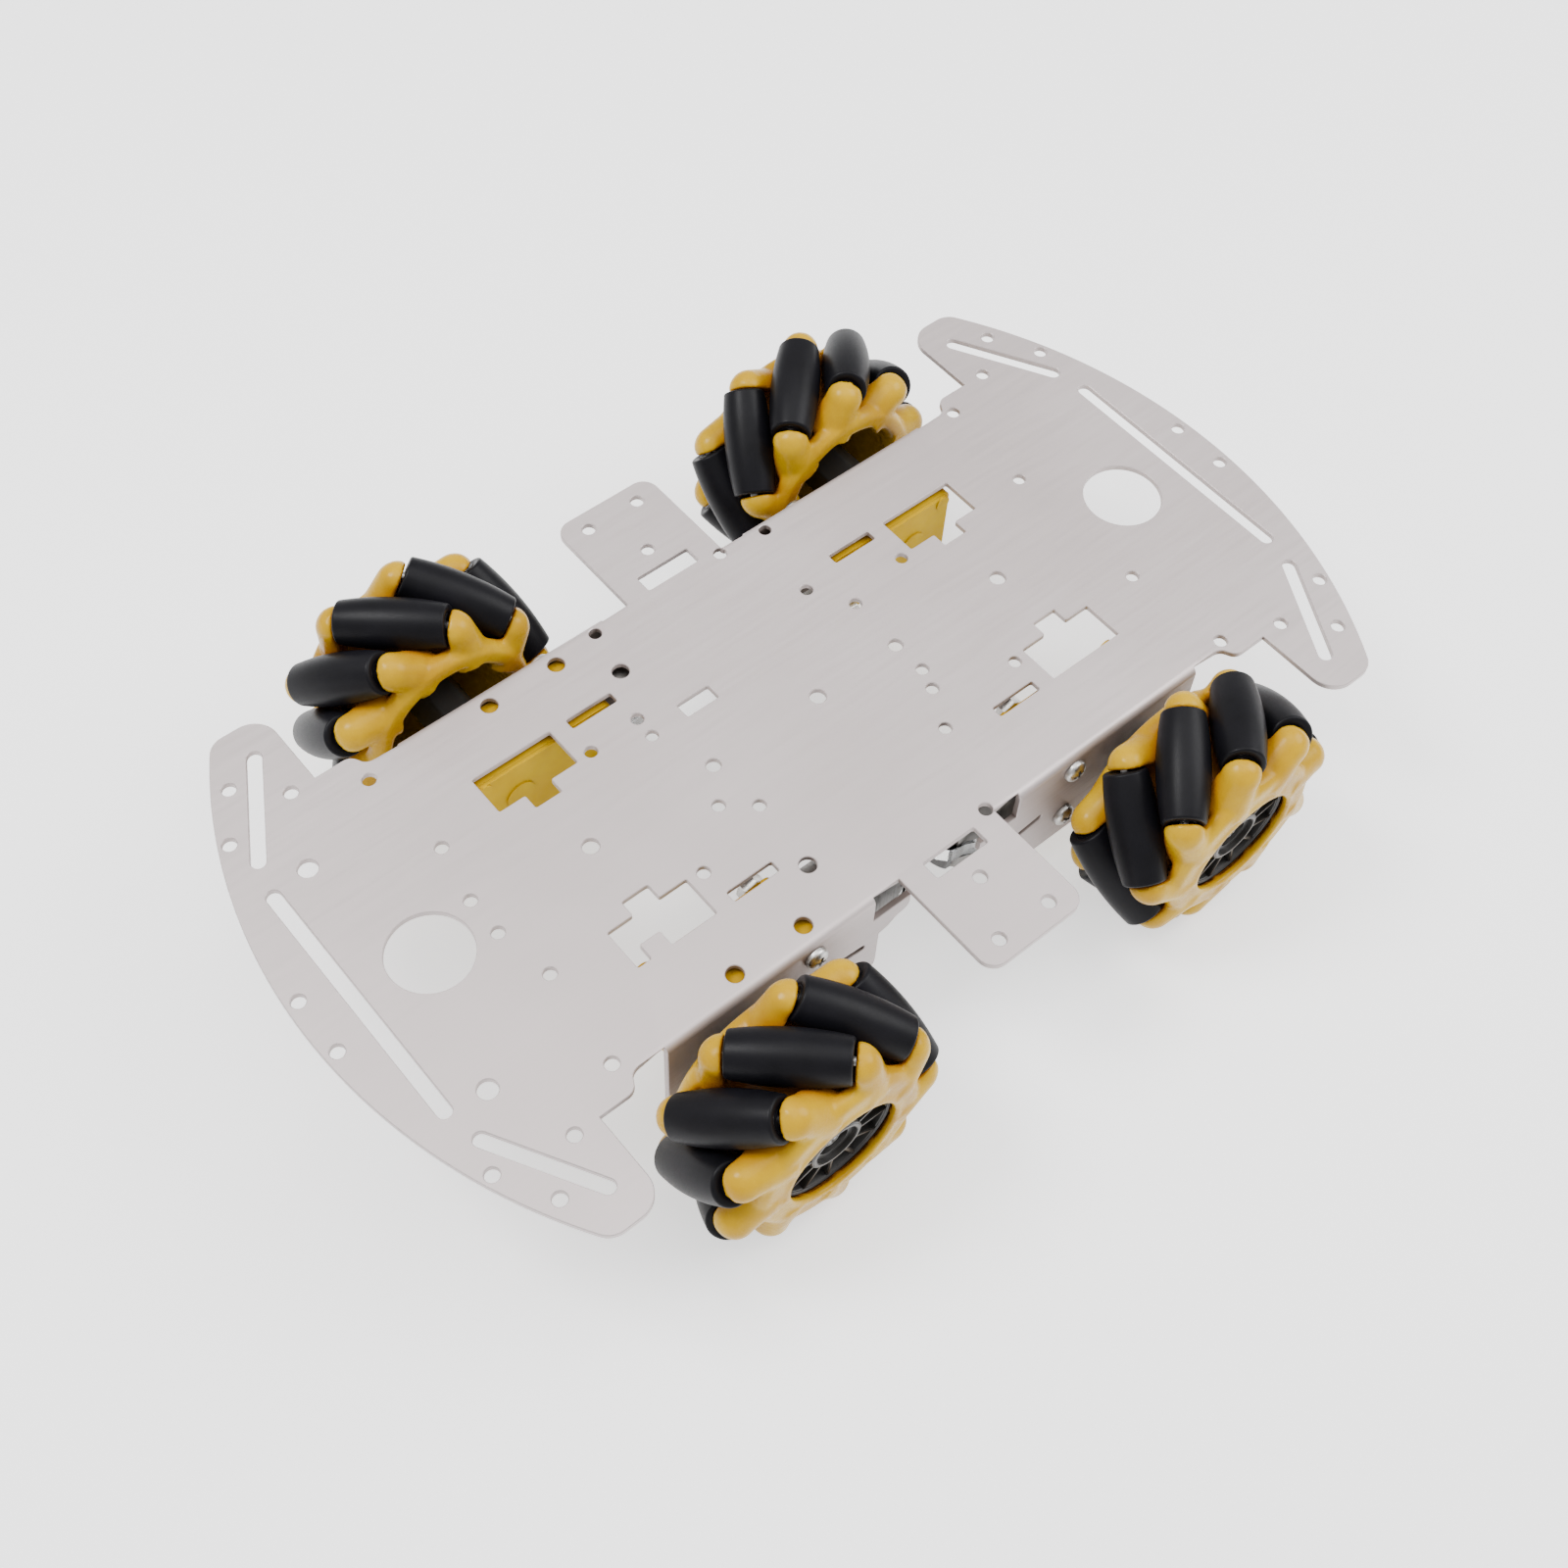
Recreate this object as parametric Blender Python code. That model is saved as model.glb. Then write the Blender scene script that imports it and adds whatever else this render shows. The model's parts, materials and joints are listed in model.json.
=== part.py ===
"""Four-wheel mecanum robot base: a folded plate, four geared motors and four roller wheels.

Sizes are in millimetres; new_object() turns them into metres. +X is the front, +Y the left side and
+Z is up. The origin lies on the ground, under the centre of the plate.
"""
import bpy
import bmesh
from math import atan, cos, degrees, pi, radians, sin, sqrt
from mathutils import Matrix, Vector

MM = 0.001

# Corners: name, side along X, side along Y, turn of the wheel at rest in degrees
CORNERS = (("fl", 1, 1, 37.5), ("fr", 1, -1, 34.5), ("rl", -1, 1, 1.5), ("rr", -1, -1, 17.5))

# Plate, folded from one sheet
DECK_TOP = 43.6
SHEET = 1.5
BEND_START = 45.0
BEND_R = 2.0
BEND_STEPS = 3
ARC_STEPS = 3
BUMPER_STEPS = 10
NEAR = 0.1
BEND_LENGTH = BEND_R * pi / 2
BUMPER_R = 127.5
BUMPER_INNER_X = 93.4
BUMPER_TIP_Y = 70.8
TIP_OUTER_R = 5.0
TIP_INNER_R = 6.0
NECK_X = 86.5
NECK_Y = 49.8
NECK_R = 3.0
WAIST_X = 81.0
WAIST_Y = 46.0
TAB_HALF = 13.5
TAB_END_Y = 74.1
TAB_CORNER_R = 4.0
FLANGE_X = (18.3, 74.8)
FLANGE_DEPTH = 31.0
FLANGE_CORNER_R = 4.0
TONGUE_ROOT_X = 20.5
TONGUE_X = 14.2
TONGUE_END_X = 10.0
TONGUE_DEPTHS = (8.5, 15.5)

# Round holes in the plate: x, y, radius
SMALL_HOLE_R = 1.6
SMALL_STEPS = 8
WIDE_STEPS = 20
CABLE_HOLES = ((98.3, 0, 9.3), (-98.3, 0, 9.3))
BUMPER_HOLES = ((109.05, 58.3), (116.05, 46.5), (124.5, 6.96), (99.3, 49.7))
FREE_HOLES = (
    (-84.8, 42.3, 1.6), (-84.8, -42.3, 1.6), (84.8, 44.6, 1.6), (84.8, -44.6, 1.6),
    (-106.6, 31.7, 2.2), (-106.6, -31.7, 2.2), (-85.1, 4.8, 1.5), (-85.1, -4.8, 1.5),
    (-82.5, 18.9, 1.5), (-82.5, -18.9, 1.5), (82.5, 18.9, 1.5), (82.5, -18.9, 1.5),
    (-44.0, 19.0, 1.5), (-44.0, -19.6, 1.5), (44.2, 18.0, 1.5), (44.2, -20.0, 1.5),
    (-58.3, 0, 1.9), (-25.7, 0, 1.7), (3.6, 0, 1.9), (26.4, 0, 1.7), (57.7, 0, 1.9),
    (-53.9, 42.4, 2.0), (-53.9, -42.0, 2.0), (-36.0, 42.4, 2.0), (-36.0, -42.0, 2.0),
    (-26.0, 32.2, 2.0), (-26.0, -31.6, 2.0), (-24.1, 44.0, 1.5), (24.9, 44.0, 1.5),
    (12.3, 44.9, 1.6), (12.3, -44.6, 1.6), (-31.0, 19.7, 1.5), (-31.2, 14.2, 1.4),
    (-31.3, -8.7, 1.5), (-24.5, -14.0, 1.5), (21.0, 24.4, 1.5), (27.1, 14.5, 1.5),
    (26.6, -8.7, 1.5), (24.8, -14.0, 1.5), (19.8, -23.7, 1.5), (0, 56.1, 1.6), (0, -56.1, 1.6),
    (7.0, 69.3, 1.6), (-7.0, 69.3, 1.6), (7.0, -69.3, 1.6), (-7.0, -69.3, 1.6))

# Slots in the plate: centre x, y, length, width, angle in degrees
BUMPER_SLOT_X = 115.6
BUMPER_SLOT_LENGTH = 63.7
SLOT_WIDTH = 3.3
SIDE_SLOT = ((99.8, 63.4), (114.4, 37.9))
OBLONG_SLOTS = (
    (-17.8, 15.3, 8.7, 4.0), (0, 48.6, 14.4, 4.6), (0, -48.6, 14.4, 4.6),
    (37.4, 27.6, 12.0, 2.8), (37.4, -27.6, 12.0, 2.8),
    (-37.4, 27.6, 12.0, 2.8), (-37.4, -27.6, 12.0, 2.8))

# Motor windows: the main opening and its step towards the middle of the plate
WINDOW_X = (47.8, 68.1)
WINDOW_Y = (18.6, 28.8)
STEP_X = (54.8, 61.5)
STEP_Y = 14.7
NIB_X = (59.5, 64.7)
NIB_Y = 24.8

# Flange holes: x, depth below the plate's top, radius
AXLE_X = 57.5
AXLE_Z = 30.0
AXLE_DEPTH = DECK_TOP - AXLE_Z
BOLT_INBOARD = 20.6
BOLT_PITCH = 17.5
FLANGE_HOLES = (
    (AXLE_X, AXLE_DEPTH, 4.2),
    (AXLE_X - BOLT_INBOARD, AXLE_DEPTH - BOLT_PITCH / 2, 1.6),
    (AXLE_X - BOLT_INBOARD, AXLE_DEPTH + BOLT_PITCH / 2, 1.6))

# Slot in each flange: x, depth, length, width, tilt in degrees
FLANGE_SLOT = (26.0, 17.0, 7.5, 1.8, 8.0)

# Geared motor
GEARBOX_Y = 35.8
GEARBOX_X = (-25.7, 11.3)
GEARBOX_HALF_Y = 9.4
GEARBOX_HALF_Z = 11.15
GEARBOX_BEVEL = 1.2
EAR = (5.0, 2.6, 6.0)
SHAFT_BORE_R = 3.0
SHAFT_BORE_DEPTH = 6.0
SHAFT_R = 2.7
SHAFT_FLAT = 1.85
SHAFT_Y = (39.6, 54.2)
CAN_X = (6.8, 31.5)
CAN_R = 10.05
CAN_HALF_Y = 7.55
CAP_X = 4.8
CAP_R = 9.2
CAP_HALF_Y = 6.9

# Wheel, in a frame with its axis along Z and its outer face at +Z
WHEEL_Y = 66.45
HUB_HALF = 14.65
HUB_LIP_R = 13.5
HUB_LIP = 2.0
DRUM_R = (15.5, 17.4)
RING_R = 21.0
RING_WIDTH = 4.0
HUB_SEGMENTS = 24
LOBE_REACH = 28.6
LOBE_R = 4.6
LOBE_ROOT = 15.5
LOBE_SPAN = (12.7, 17.4)
LOBE_STEPS = 6
ROLLERS = 9
ROLLER_TILT = radians(45)
ROLLER_ORBIT = 23.9
ROLLER_HALF = 12.3
ROLLER_MID_R = 5.75
ROLLER_END_R = 4.45
ROLLER_BANDS = 4
ROLLER_SEGMENTS = 10
ROLLER_BORE_R = 1.35
PIN_R = 1.0
PIN_HALF = 15.0
PIN_SEGMENTS = 6

# Coupling between the shaft and the hub
COUPLING_DISC_R = 15.1
COUPLING_DISC_Z = (9.3, 12.3)
COUPLING_BOSS_R = 6.5
COUPLING_BOSS_END = -18.0
COUPLING_BORE_END = -11.0
COUPLING_CLEARANCE = 0.3

# Materials: base colour, roughness, metallic
MATERIALS = {
    "aluminium": ((0.56, 0.53, 0.52), 0.42, 0.9),
    "yellow": ((0.83, 0.52, 0.015), 0.3, 0.0),
    "rubber": ((0.012, 0.012, 0.015), 0.5, 0.0),
    "steel": ((0.55, 0.55, 0.55), 0.3, 1.0),
    "white": ((0.8, 0.8, 0.77), 0.4, 0.0),
    "black": ((0.02, 0.02, 0.02), 0.4, 0.0)}


def clear_scene():
    for obj in list(bpy.data.objects):
        bpy.data.objects.remove(obj, do_unlink=True)


def make_materials():
    made = {}
    for name, (colour, roughness, metallic) in MATERIALS.items():
        material = bpy.data.materials.new(name)
        material.use_nodes = True
        shader = material.node_tree.nodes["Principled BSDF"]
        shader.inputs["Base Color"].default_value = (*colour, 1)
        shader.inputs["Roughness"].default_value = roughness
        shader.inputs["Metallic"].default_value = metallic
        made[name] = material
    return made


def new_object(name, bm, material, matrix=None, parent=None):
    """Turn a bmesh in millimetres into an object in metres, at matrix under its parent."""
    bmesh.ops.scale(bm, vec=(MM, MM, MM), verts=bm.verts)
    mesh = bpy.data.meshes.new(name)
    bm.to_mesh(mesh)
    bm.free()
    mesh.shade_smooth()
    mesh.set_sharp_from_angle(angle=radians(40))
    mesh.materials.append(material)
    return place_mesh(name, mesh, matrix, parent)


def place_mesh(name, mesh, matrix=None, parent=None):
    obj = bpy.data.objects.new(name, mesh)
    bpy.context.collection.objects.link(obj)
    obj.parent = parent
    matrix = matrix.copy() if matrix else Matrix()
    matrix.translation *= MM
    obj.matrix_local = matrix
    return obj


def new_cutter(name, bm, material):
    cutter = new_object(name, bm, material)
    cutter.hide_render = True
    cutter.display_type = "WIRE"
    return cutter


def combine(obj, operation, cutter):
    modifier = obj.modifiers.new(cutter.name, "BOOLEAN")
    modifier.operation = operation
    modifier.solver = "EXACT"
    modifier.object = cutter


# Outlines: lists of (x, y) points, counter-clockwise

def arc(x, y, radius, start, end, steps):
    """Points on an arc about (x, y), with angles in degrees."""
    turns = [radians(start + (end - start) * step / steps) for step in range(steps + 1)]
    return [(x + radius * cos(turn), y + radius * sin(turn)) for turn in turns]


def circle(x, y, radius, steps):
    return arc(x, y, radius, 0, 360, steps)[:-1]


def slot(x, y, length, width, angle=0.0, steps=4):
    """A round-ended slot about (x, y)."""
    reach = (length - width) / 2
    outline = arc(reach, 0, width / 2, -90, 90, steps) + arc(-reach, 0, width / 2, 90, 270, steps)
    turn = Matrix.Rotation(radians(angle), 2)
    return [(x + p.x, y + p.y) for p in (turn @ Vector(point) for point in outline)]


def box_outline(x0, x1, y0, y1):
    return [(x0, y0), (x1, y0), (x1, y1), (x0, y1)]


def double_d(radius, flat, steps=5):
    """A round outline with flats at x = +flat and x = -flat."""
    half = 90 - degrees(atan(flat / sqrt(radius ** 2 - flat ** 2)))
    return arc(0, 0, radius, half, 180 - half, steps) + arc(0, 0, radius, 180 + half, 360 - half, steps)


# Solids in millimetres, added to a bmesh

def add_loft(bm, rings, closed=False):
    """Skin rings of equal length; an open loft gets flat end caps."""
    rows = [[bm.verts.new(point) for point in ring] for ring in rings]
    pairs = list(zip(rows, rows[1:] + rows[:1])) if closed else list(zip(rows, rows[1:]))
    for low, high in pairs:
        for i in range(len(low)):
            j = (i + 1) % len(low)
            bm.faces.new((low[i], low[j], high[j], high[i]))
    if not closed:
        bm.faces.new(rows[0][::-1])
        bm.faces.new(rows[-1])
    return [vert for row in rows for vert in row]


def add_prism(bm, outline, z0, z1):
    return add_loft(bm, [[(x, y, z) for x, y in outline] for z in (z0, z1)])


def add_box(bm, x, y, z):
    return add_prism(bm, box_outline(x[0], x[1], y[0], y[1]), z[0], z[1])


def add_ring(bm, profile, segments):
    """Turn a closed profile of (radius, z) points about Z."""
    turns = [2 * pi * i / segments for i in range(segments)]
    rings = [[(r * cos(turn), r * sin(turn), z) for turn in turns] for r, z in profile]
    verts = add_loft(bm, rings, closed=True)
    bmesh.ops.recalc_face_normals(bm, faces=bm.faces)
    return verts


def mirrored(bm, side_x, side_y):
    """Mirror a solid made for the front left corner to another corner."""
    bmesh.ops.scale(bm, vec=(side_x, side_y, 1), verts=bm.verts)
    if side_x * side_y < 0:
        bmesh.ops.reverse_faces(bm, faces=bm.faces)
    return bm


# Plate

def flat_y(depth):
    """Where a point of the flange at this depth lies on the sheet before folding."""
    return BEND_START + BEND_LENGTH + depth - BEND_R


def flange_outline():
    """The flange from its outboard end to its tongue beside the tab, on the flat sheet."""
    x0, x1 = FLANGE_X
    r = FLANGE_CORNER_R
    bottom = flat_y(FLANGE_DEPTH)
    top, low = (flat_y(depth) for depth in TONGUE_DEPTHS)
    return (
        [(x1, WAIST_Y)] + arc(x1 - r, bottom - r, r, 0, 90, ARC_STEPS)
        + arc(x0 + r, bottom - r, r, 90, 180, ARC_STEPS) + [(x0, low)]
        + arc(TONGUE_X + r / 2, low - r, r / 2, 90, 180, ARC_STEPS)
        + [(TONGUE_X, top), (TONGUE_ROOT_X, top), (TONGUE_ROOT_X, WAIST_Y), (TAB_HALF, WAIST_Y)])


def plate_quarter():
    """The flat sheet's outline from the middle of the front bumper to the middle of the left tab."""
    tip_y = BUMPER_TIP_Y - TIP_OUTER_R
    tip_x = sqrt((BUMPER_R - TIP_OUTER_R) ** 2 - tip_y ** 2)
    tip_angle = degrees(atan(tip_y / tip_x))
    inner_x = BUMPER_INNER_X + TIP_INNER_R
    inner_y = BUMPER_TIP_Y - TIP_INNER_R
    tab_x = TAB_HALF - TAB_CORNER_R
    tab_y = TAB_END_Y - TAB_CORNER_R
    return (
        arc(0, 0, BUMPER_R, 0, tip_angle, BUMPER_STEPS)
        + arc(tip_x, tip_y, TIP_OUTER_R, tip_angle, 90, ARC_STEPS)[1:]
        + arc(inner_x, inner_y, TIP_INNER_R, 90, 180, ARC_STEPS)
        + [(BUMPER_INNER_X, NECK_Y)]
        + arc(NECK_X, NECK_Y - NECK_R, NECK_R, 90, 140, 1)
        + arc(WAIST_X, WAIST_Y + NECK_R, NECK_R, 320, 270, 1)
        + flange_outline()
        + arc(tab_x, tab_y, TAB_CORNER_R, 0, 90, ARC_STEPS) + [(0, TAB_END_Y)])


def plate_outline():
    quarter = plate_quarter()
    left = quarter + [(-x, y) for x, y in reversed(quarter[:-1])]
    return left[:-1] + [(-x, -y) for x, y in left[:-1]]


def window(side_x, side_y):
    """A motor window; the rear right one has a nib on its outer edge."""
    x0, x1 = WINDOW_X
    y0, y1 = WINDOW_Y
    outline = [(x0, y0), (STEP_X[0], y0), (STEP_X[0], STEP_Y), (STEP_X[1], STEP_Y), (STEP_X[1], y0)]
    outline += [(x1, y0), (x1, y1)]
    if side_x < 0 and side_y < 0:
        outline += [(NIB_X[1], y1), (NIB_X[1], NIB_Y), (NIB_X[0], NIB_Y), (NIB_X[0], y1)]
    outline.append((x0, y1))
    return [(side_x * x, side_y * y) for x, y in outline]


def plate_holes():
    holes = [circle(x, y, r, WIDE_STEPS) for x, y, r in CABLE_HOLES]
    holes += [circle(x, y, r, SMALL_STEPS) for x, y, r in FREE_HOLES]
    holes += [slot(*size) for size in OBLONG_SLOTS]
    for side_x in (1, -1):
        holes.append(slot(side_x * BUMPER_SLOT_X, 0, BUMPER_SLOT_LENGTH, SLOT_WIDTH, 90))
    (ax, ay), (bx, by) = SIDE_SLOT
    length = sqrt((bx - ax) ** 2 + (by - ay) ** 2)
    slope = degrees(atan((by - ay) / (bx - ax)))
    for _, side_x, side_y, _ in CORNERS:
        holes += [circle(side_x * x, side_y * y, SMALL_HOLE_R, SMALL_STEPS) for x, y in BUMPER_HOLES]
        middle = (side_x * (ax + bx) / 2, side_y * (ay + by) / 2)
        holes.append(slot(*middle, length, SLOT_WIDTH, side_x * side_y * slope))
        holes.append(window(side_x, side_y))
        for x, depth, radius in FLANGE_HOLES:
            holes.append(circle(side_x * x, side_y * flat_y(depth), radius, SMALL_STEPS))
        x, depth, reach, width, tilt = FLANGE_SLOT
        holes.append(slot(side_x * x, side_y * flat_y(depth), reach, width, -side_x * side_y * tilt))
    return holes


def folded(point):
    """Where a point of the flat sheet goes when the flanges are folded down."""
    x, y = point.x, abs(point.y)
    side_x = 1 if x > 0 else -1
    side_y = 1 if point.y > 0 else -1
    if y <= BEND_START or not TAB_HALF + NEAR < abs(x) < FLANGE_X[1] + NEAR:
        return Vector((x, point.y, DECK_TOP))
    along = y - BEND_START
    if along < BEND_LENGTH:
        turn = along / BEND_R
        return Vector((x, side_y * (BEND_START + BEND_R * sin(turn)), DECK_TOP - BEND_R * (1 - cos(turn))))
    depth = along - BEND_LENGTH + BEND_R
    if abs(x) < TONGUE_ROOT_X and depth < TONGUE_DEPTHS[1] + NEAR:
        stretch = (TONGUE_ROOT_X - TONGUE_END_X) / (TONGUE_ROOT_X - TONGUE_X)
        x = side_x * (TONGUE_ROOT_X - (TONGUE_ROOT_X - abs(x)) * stretch)
    return Vector((x, side_y * (BEND_START + BEND_R), DECK_TOP - depth))


def add_flat_sheet(bm):
    """Fill the outline around its holes."""
    for outline in [plate_outline()] + plate_holes():
        verts = [bm.verts.new((x, y, 0)) for x, y in outline]
        for start, end in zip(verts, verts[1:] + verts[:1]):
            bm.edges.new((start, end))
    bmesh.ops.triangle_fill(bm, use_beauty=True, edges=bm.edges, normal=(0, 0, 1))


def cut_fold_lines(bm):
    for side in (1, -1):
        for step in range(BEND_STEPS + 1):
            line = side * (BEND_START + BEND_LENGTH * step / BEND_STEPS)
            sheet = bm.verts[:] + bm.edges[:] + bm.faces[:]
            bmesh.ops.bisect_plane(bm, geom=sheet, plane_co=(0, line, 0), plane_no=(0, 1, 0), dist=1e-4)


def make_plate(material):
    bm = bmesh.new()
    add_flat_sheet(bm)
    cut_fold_lines(bm)
    for vert in bm.verts:
        vert.co = folded(vert.co)
    bmesh.ops.recalc_face_normals(bm, faces=bm.faces)
    if max(bm.faces, key=lambda face: face.calc_center_median().z).normal.z < 0:
        bmesh.ops.reverse_faces(bm, faces=bm.faces)
    plate = new_object("chassis_plate", bm, material)
    solidify = plate.modifiers.new("sheet", "SOLIDIFY")
    solidify.thickness = SHEET * MM
    solidify.offset = -1
    solidify.use_even_offset = True


# Geared motors

def make_gearbox(corner, side_x, side_y, material):
    bm = bmesh.new()
    half_y, half_z = GEARBOX_HALF_Y, GEARBOX_HALF_Z
    add_box(bm, GEARBOX_X, (-half_y, half_y), (-half_z, half_z))
    bmesh.ops.bevel(bm, geom=bm.edges[:], offset=GEARBOX_BEVEL, segments=1, affect="EDGES")
    gearbox = new_object(
        "gearbox_" + corner, mirrored(bm, side_x, side_y), material,
        Matrix.Translation((side_x * AXLE_X, side_y * GEARBOX_Y, AXLE_Z)))
    end = GEARBOX_X[1]
    ear = bmesh.new()
    add_box(ear, (end - EAR[0], end + EAR[0]), (-EAR[1] / 2, EAR[1] / 2), (-EAR[2] / 2, EAR[2] / 2))
    bore = bmesh.new()
    add_prism(bore, circle(0, 0, SHAFT_BORE_R, 12), GEARBOX_HALF_Y - SHAFT_BORE_DEPTH, GEARBOX_HALF_Y + 1)
    bmesh.ops.rotate(bore, verts=bore.verts, matrix=Matrix.Rotation(-pi / 2, 3, "X"))
    for name, operation, cutter_mesh in (("ear", "UNION", ear), ("bore", "DIFFERENCE", bore)):
        solid = mirrored(cutter_mesh, side_x, side_y)
        cutter = new_cutter("%s_cutter_%s" % (name, corner), solid, material)
        cutter.location = gearbox.location
        combine(gearbox, operation, cutter)


def make_motor(corner, side_x, side_y, material):
    """The flat-sided motor can along X, with the step of its brush cap."""
    cap = double_d(CAP_R, CAP_HALF_Y)
    can = double_d(CAN_R, CAN_HALF_Y)
    sections = ((CAP_X, cap), (CAN_X[0], cap), (CAN_X[0], can), (CAN_X[1], can))
    bm = bmesh.new()
    add_loft(bm, [[(x, y, z) for y, z in outline] for x, outline in sections])
    place = Matrix.Translation((0, side_y * GEARBOX_Y, AXLE_Z))
    new_object("motor_can_" + corner, mirrored(bm, side_x, side_y), material, place)


def make_shaft(corner, axle, material):
    """The gearbox's output shaft, in the wheel's frame."""
    bm = bmesh.new()
    add_prism(bm, double_d(SHAFT_R, SHAFT_FLAT), SHAFT_Y[0] - WHEEL_Y, SHAFT_Y[1] - WHEEL_Y)
    new_object("output_shaft_" + corner, bm, material, parent=axle)


# Wheels

def roller_frame(angle, hand):
    """The roller's frame in the wheel's frame: X points outward and Z runs along the roller."""
    outward = Vector((cos(angle), sin(angle), 0))
    around = Vector((-sin(angle), cos(angle), 0))
    along = around * (hand * sin(ROLLER_TILT)) + Vector((0, 0, cos(ROLLER_TILT)))
    frame = Matrix((outward, along.cross(outward), along)).transposed().to_4x4()
    frame.translation = outward * ROLLER_ORBIT
    return frame


def roller_radius(reach):
    """The barrel's corner radius at this distance from its middle; its mean radius is the real one."""
    radius = ROLLER_MID_R - (ROLLER_MID_R - ROLLER_END_R) * (reach / ROLLER_HALF) ** 2
    return radius / cos(pi / ROLLER_SEGMENTS / sqrt(2))


def roller_profile():
    """The barrel's closed profile, from its bore out and along."""
    places = [ROLLER_HALF * (2 * band / ROLLER_BANDS - 1) for band in range(ROLLER_BANDS + 1)]
    stations = [(roller_radius(place), place) for place in places]
    return [(ROLLER_BORE_R, -ROLLER_HALF)] + stations + [(ROLLER_BORE_R, ROLLER_HALF)]


def make_roller_mesh(material):
    bm = bmesh.new()
    add_ring(bm, roller_profile(), ROLLER_SEGMENTS)
    guide = new_object("roller_guide", bm, material)
    mesh = guide.data
    bpy.data.objects.remove(guide)
    return mesh


def hub_profile():
    """The hub without its lobes: two rings joined by a drum, with a lip at the outer face."""
    inner, outer = DRUM_R
    shoulder = HUB_HALF - RING_WIDTH
    return [
        (inner + 0.8, -HUB_HALF), (RING_R, -HUB_HALF), (RING_R, -shoulder), (outer, -shoulder),
        (outer, shoulder), (RING_R, shoulder), (RING_R, HUB_HALF), (HUB_LIP_R, HUB_HALF),
        (HUB_LIP_R, HUB_HALF - HUB_LIP), (inner, HUB_HALF - HUB_LIP), (inner, -HUB_HALF + 1)]


def lobe_outline():
    """A tongue square to the roller's axis: round at its tip, straight down to the ring."""
    root = LOBE_ROOT - ROLLER_ORBIT
    return arc(0, 0, LOBE_R, -90, 90, LOBE_STEPS) + [(root, LOBE_R), (root, -LOBE_R)]


def make_lobes(hand, material):
    bm = bmesh.new()
    for index in range(ROLLERS):
        frame = roller_frame(2 * pi * index / ROLLERS, hand)
        for side in (1, -1):
            low, high = sorted(side * end for end in LOBE_SPAN)
            bmesh.ops.transform(bm, matrix=frame, verts=add_prism(bm, lobe_outline(), low, high))
    return new_cutter("lobes_%s" % ("right" if hand > 0 else "left"), bm, material)


def make_pins(hand, material):
    bm = bmesh.new()
    for index in range(ROLLERS):
        frame = roller_frame(2 * pi * index / ROLLERS, hand)
        pin = add_prism(bm, circle(0, 0, PIN_R, PIN_SEGMENTS), -PIN_HALF, PIN_HALF)
        bmesh.ops.transform(bm, matrix=frame, verts=pin)
    return new_cutter("pins_%s" % ("right" if hand > 0 else "left"), bm, material)


def make_envelope(material):
    bm = bmesh.new()
    add_prism(bm, circle(0, 0, LOBE_REACH, 32), -HUB_HALF, HUB_HALF)
    return new_cutter("hub_envelope", bm, material)


def make_hub(corner, axle, cutters, material):
    """The hub with its lobes, and the steel pins that run from lobe to lobe."""
    lobes, envelope, pins = cutters
    bm = bmesh.new()
    add_ring(bm, hub_profile(), HUB_SEGMENTS)
    hub = new_object("wheel_hub_" + corner, bm, material, parent=axle)
    for operation, guide in (("UNION", lobes), ("INTERSECT", envelope), ("UNION", pins)):
        cutter = place_mesh("%s_%s" % (guide.name, corner), guide.data, parent=axle)
        cutter.hide_render = True
        cutter.display_type = "WIRE"
        combine(hub, operation, cutter)


def make_coupling(corner, axle, material):
    bm = bmesh.new()
    add_prism(bm, circle(0, 0, COUPLING_DISC_R, HUB_SEGMENTS), *COUPLING_DISC_Z)
    coupling = new_object("wheel_coupling_" + corner, bm, material, parent=axle)
    boss = bmesh.new()
    add_prism(boss, circle(0, 0, COUPLING_BOSS_R, 6), COUPLING_BOSS_END, COUPLING_DISC_Z[0] + 1)
    bore = bmesh.new()
    outline = double_d(SHAFT_R + COUPLING_CLEARANCE, SHAFT_FLAT + COUPLING_CLEARANCE)
    add_prism(bore, outline, COUPLING_BOSS_END - 1, COUPLING_BORE_END)
    for name, operation, mesh in (("boss", "UNION", boss), ("socket", "DIFFERENCE", bore)):
        cutter = new_cutter("%s_%s" % (name, corner), mesh, material)
        cutter.parent = axle
        combine(coupling, operation, cutter)


def make_axle(corner, side_x, side_y, turn):
    """An empty on the wheel's axis: its Z points outward and its X to the first roller."""
    axle = bpy.data.objects.new("axle_" + corner, None)
    bpy.context.collection.objects.link(axle)
    outward = Matrix.Rotation(pi if side_y > 0 else 0, 4, "Z") @ Matrix.Rotation(pi / 2, 4, "X")
    place = Matrix.Translation(Vector((side_x * AXLE_X, side_y * WHEEL_Y, AXLE_Z)) * MM)
    axle.matrix_world = place @ outward @ Matrix.Rotation(radians(turn), 4, "Z")
    return axle


def make_wheel(corner, side_x, side_y, turn, roller_mesh, cutters, materials):
    axle = make_axle(corner, side_x, side_y, turn)
    hand = side_x
    make_hub(corner, axle, cutters[hand], materials["yellow"])
    make_coupling(corner, axle, materials["black"])
    make_shaft(corner, axle, materials["white"])
    for index in range(ROLLERS):
        frame = roller_frame(2 * pi * index / ROLLERS, hand)
        place_mesh("roller_%s_%d" % (corner, index + 1), roller_mesh, frame, axle)


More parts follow.
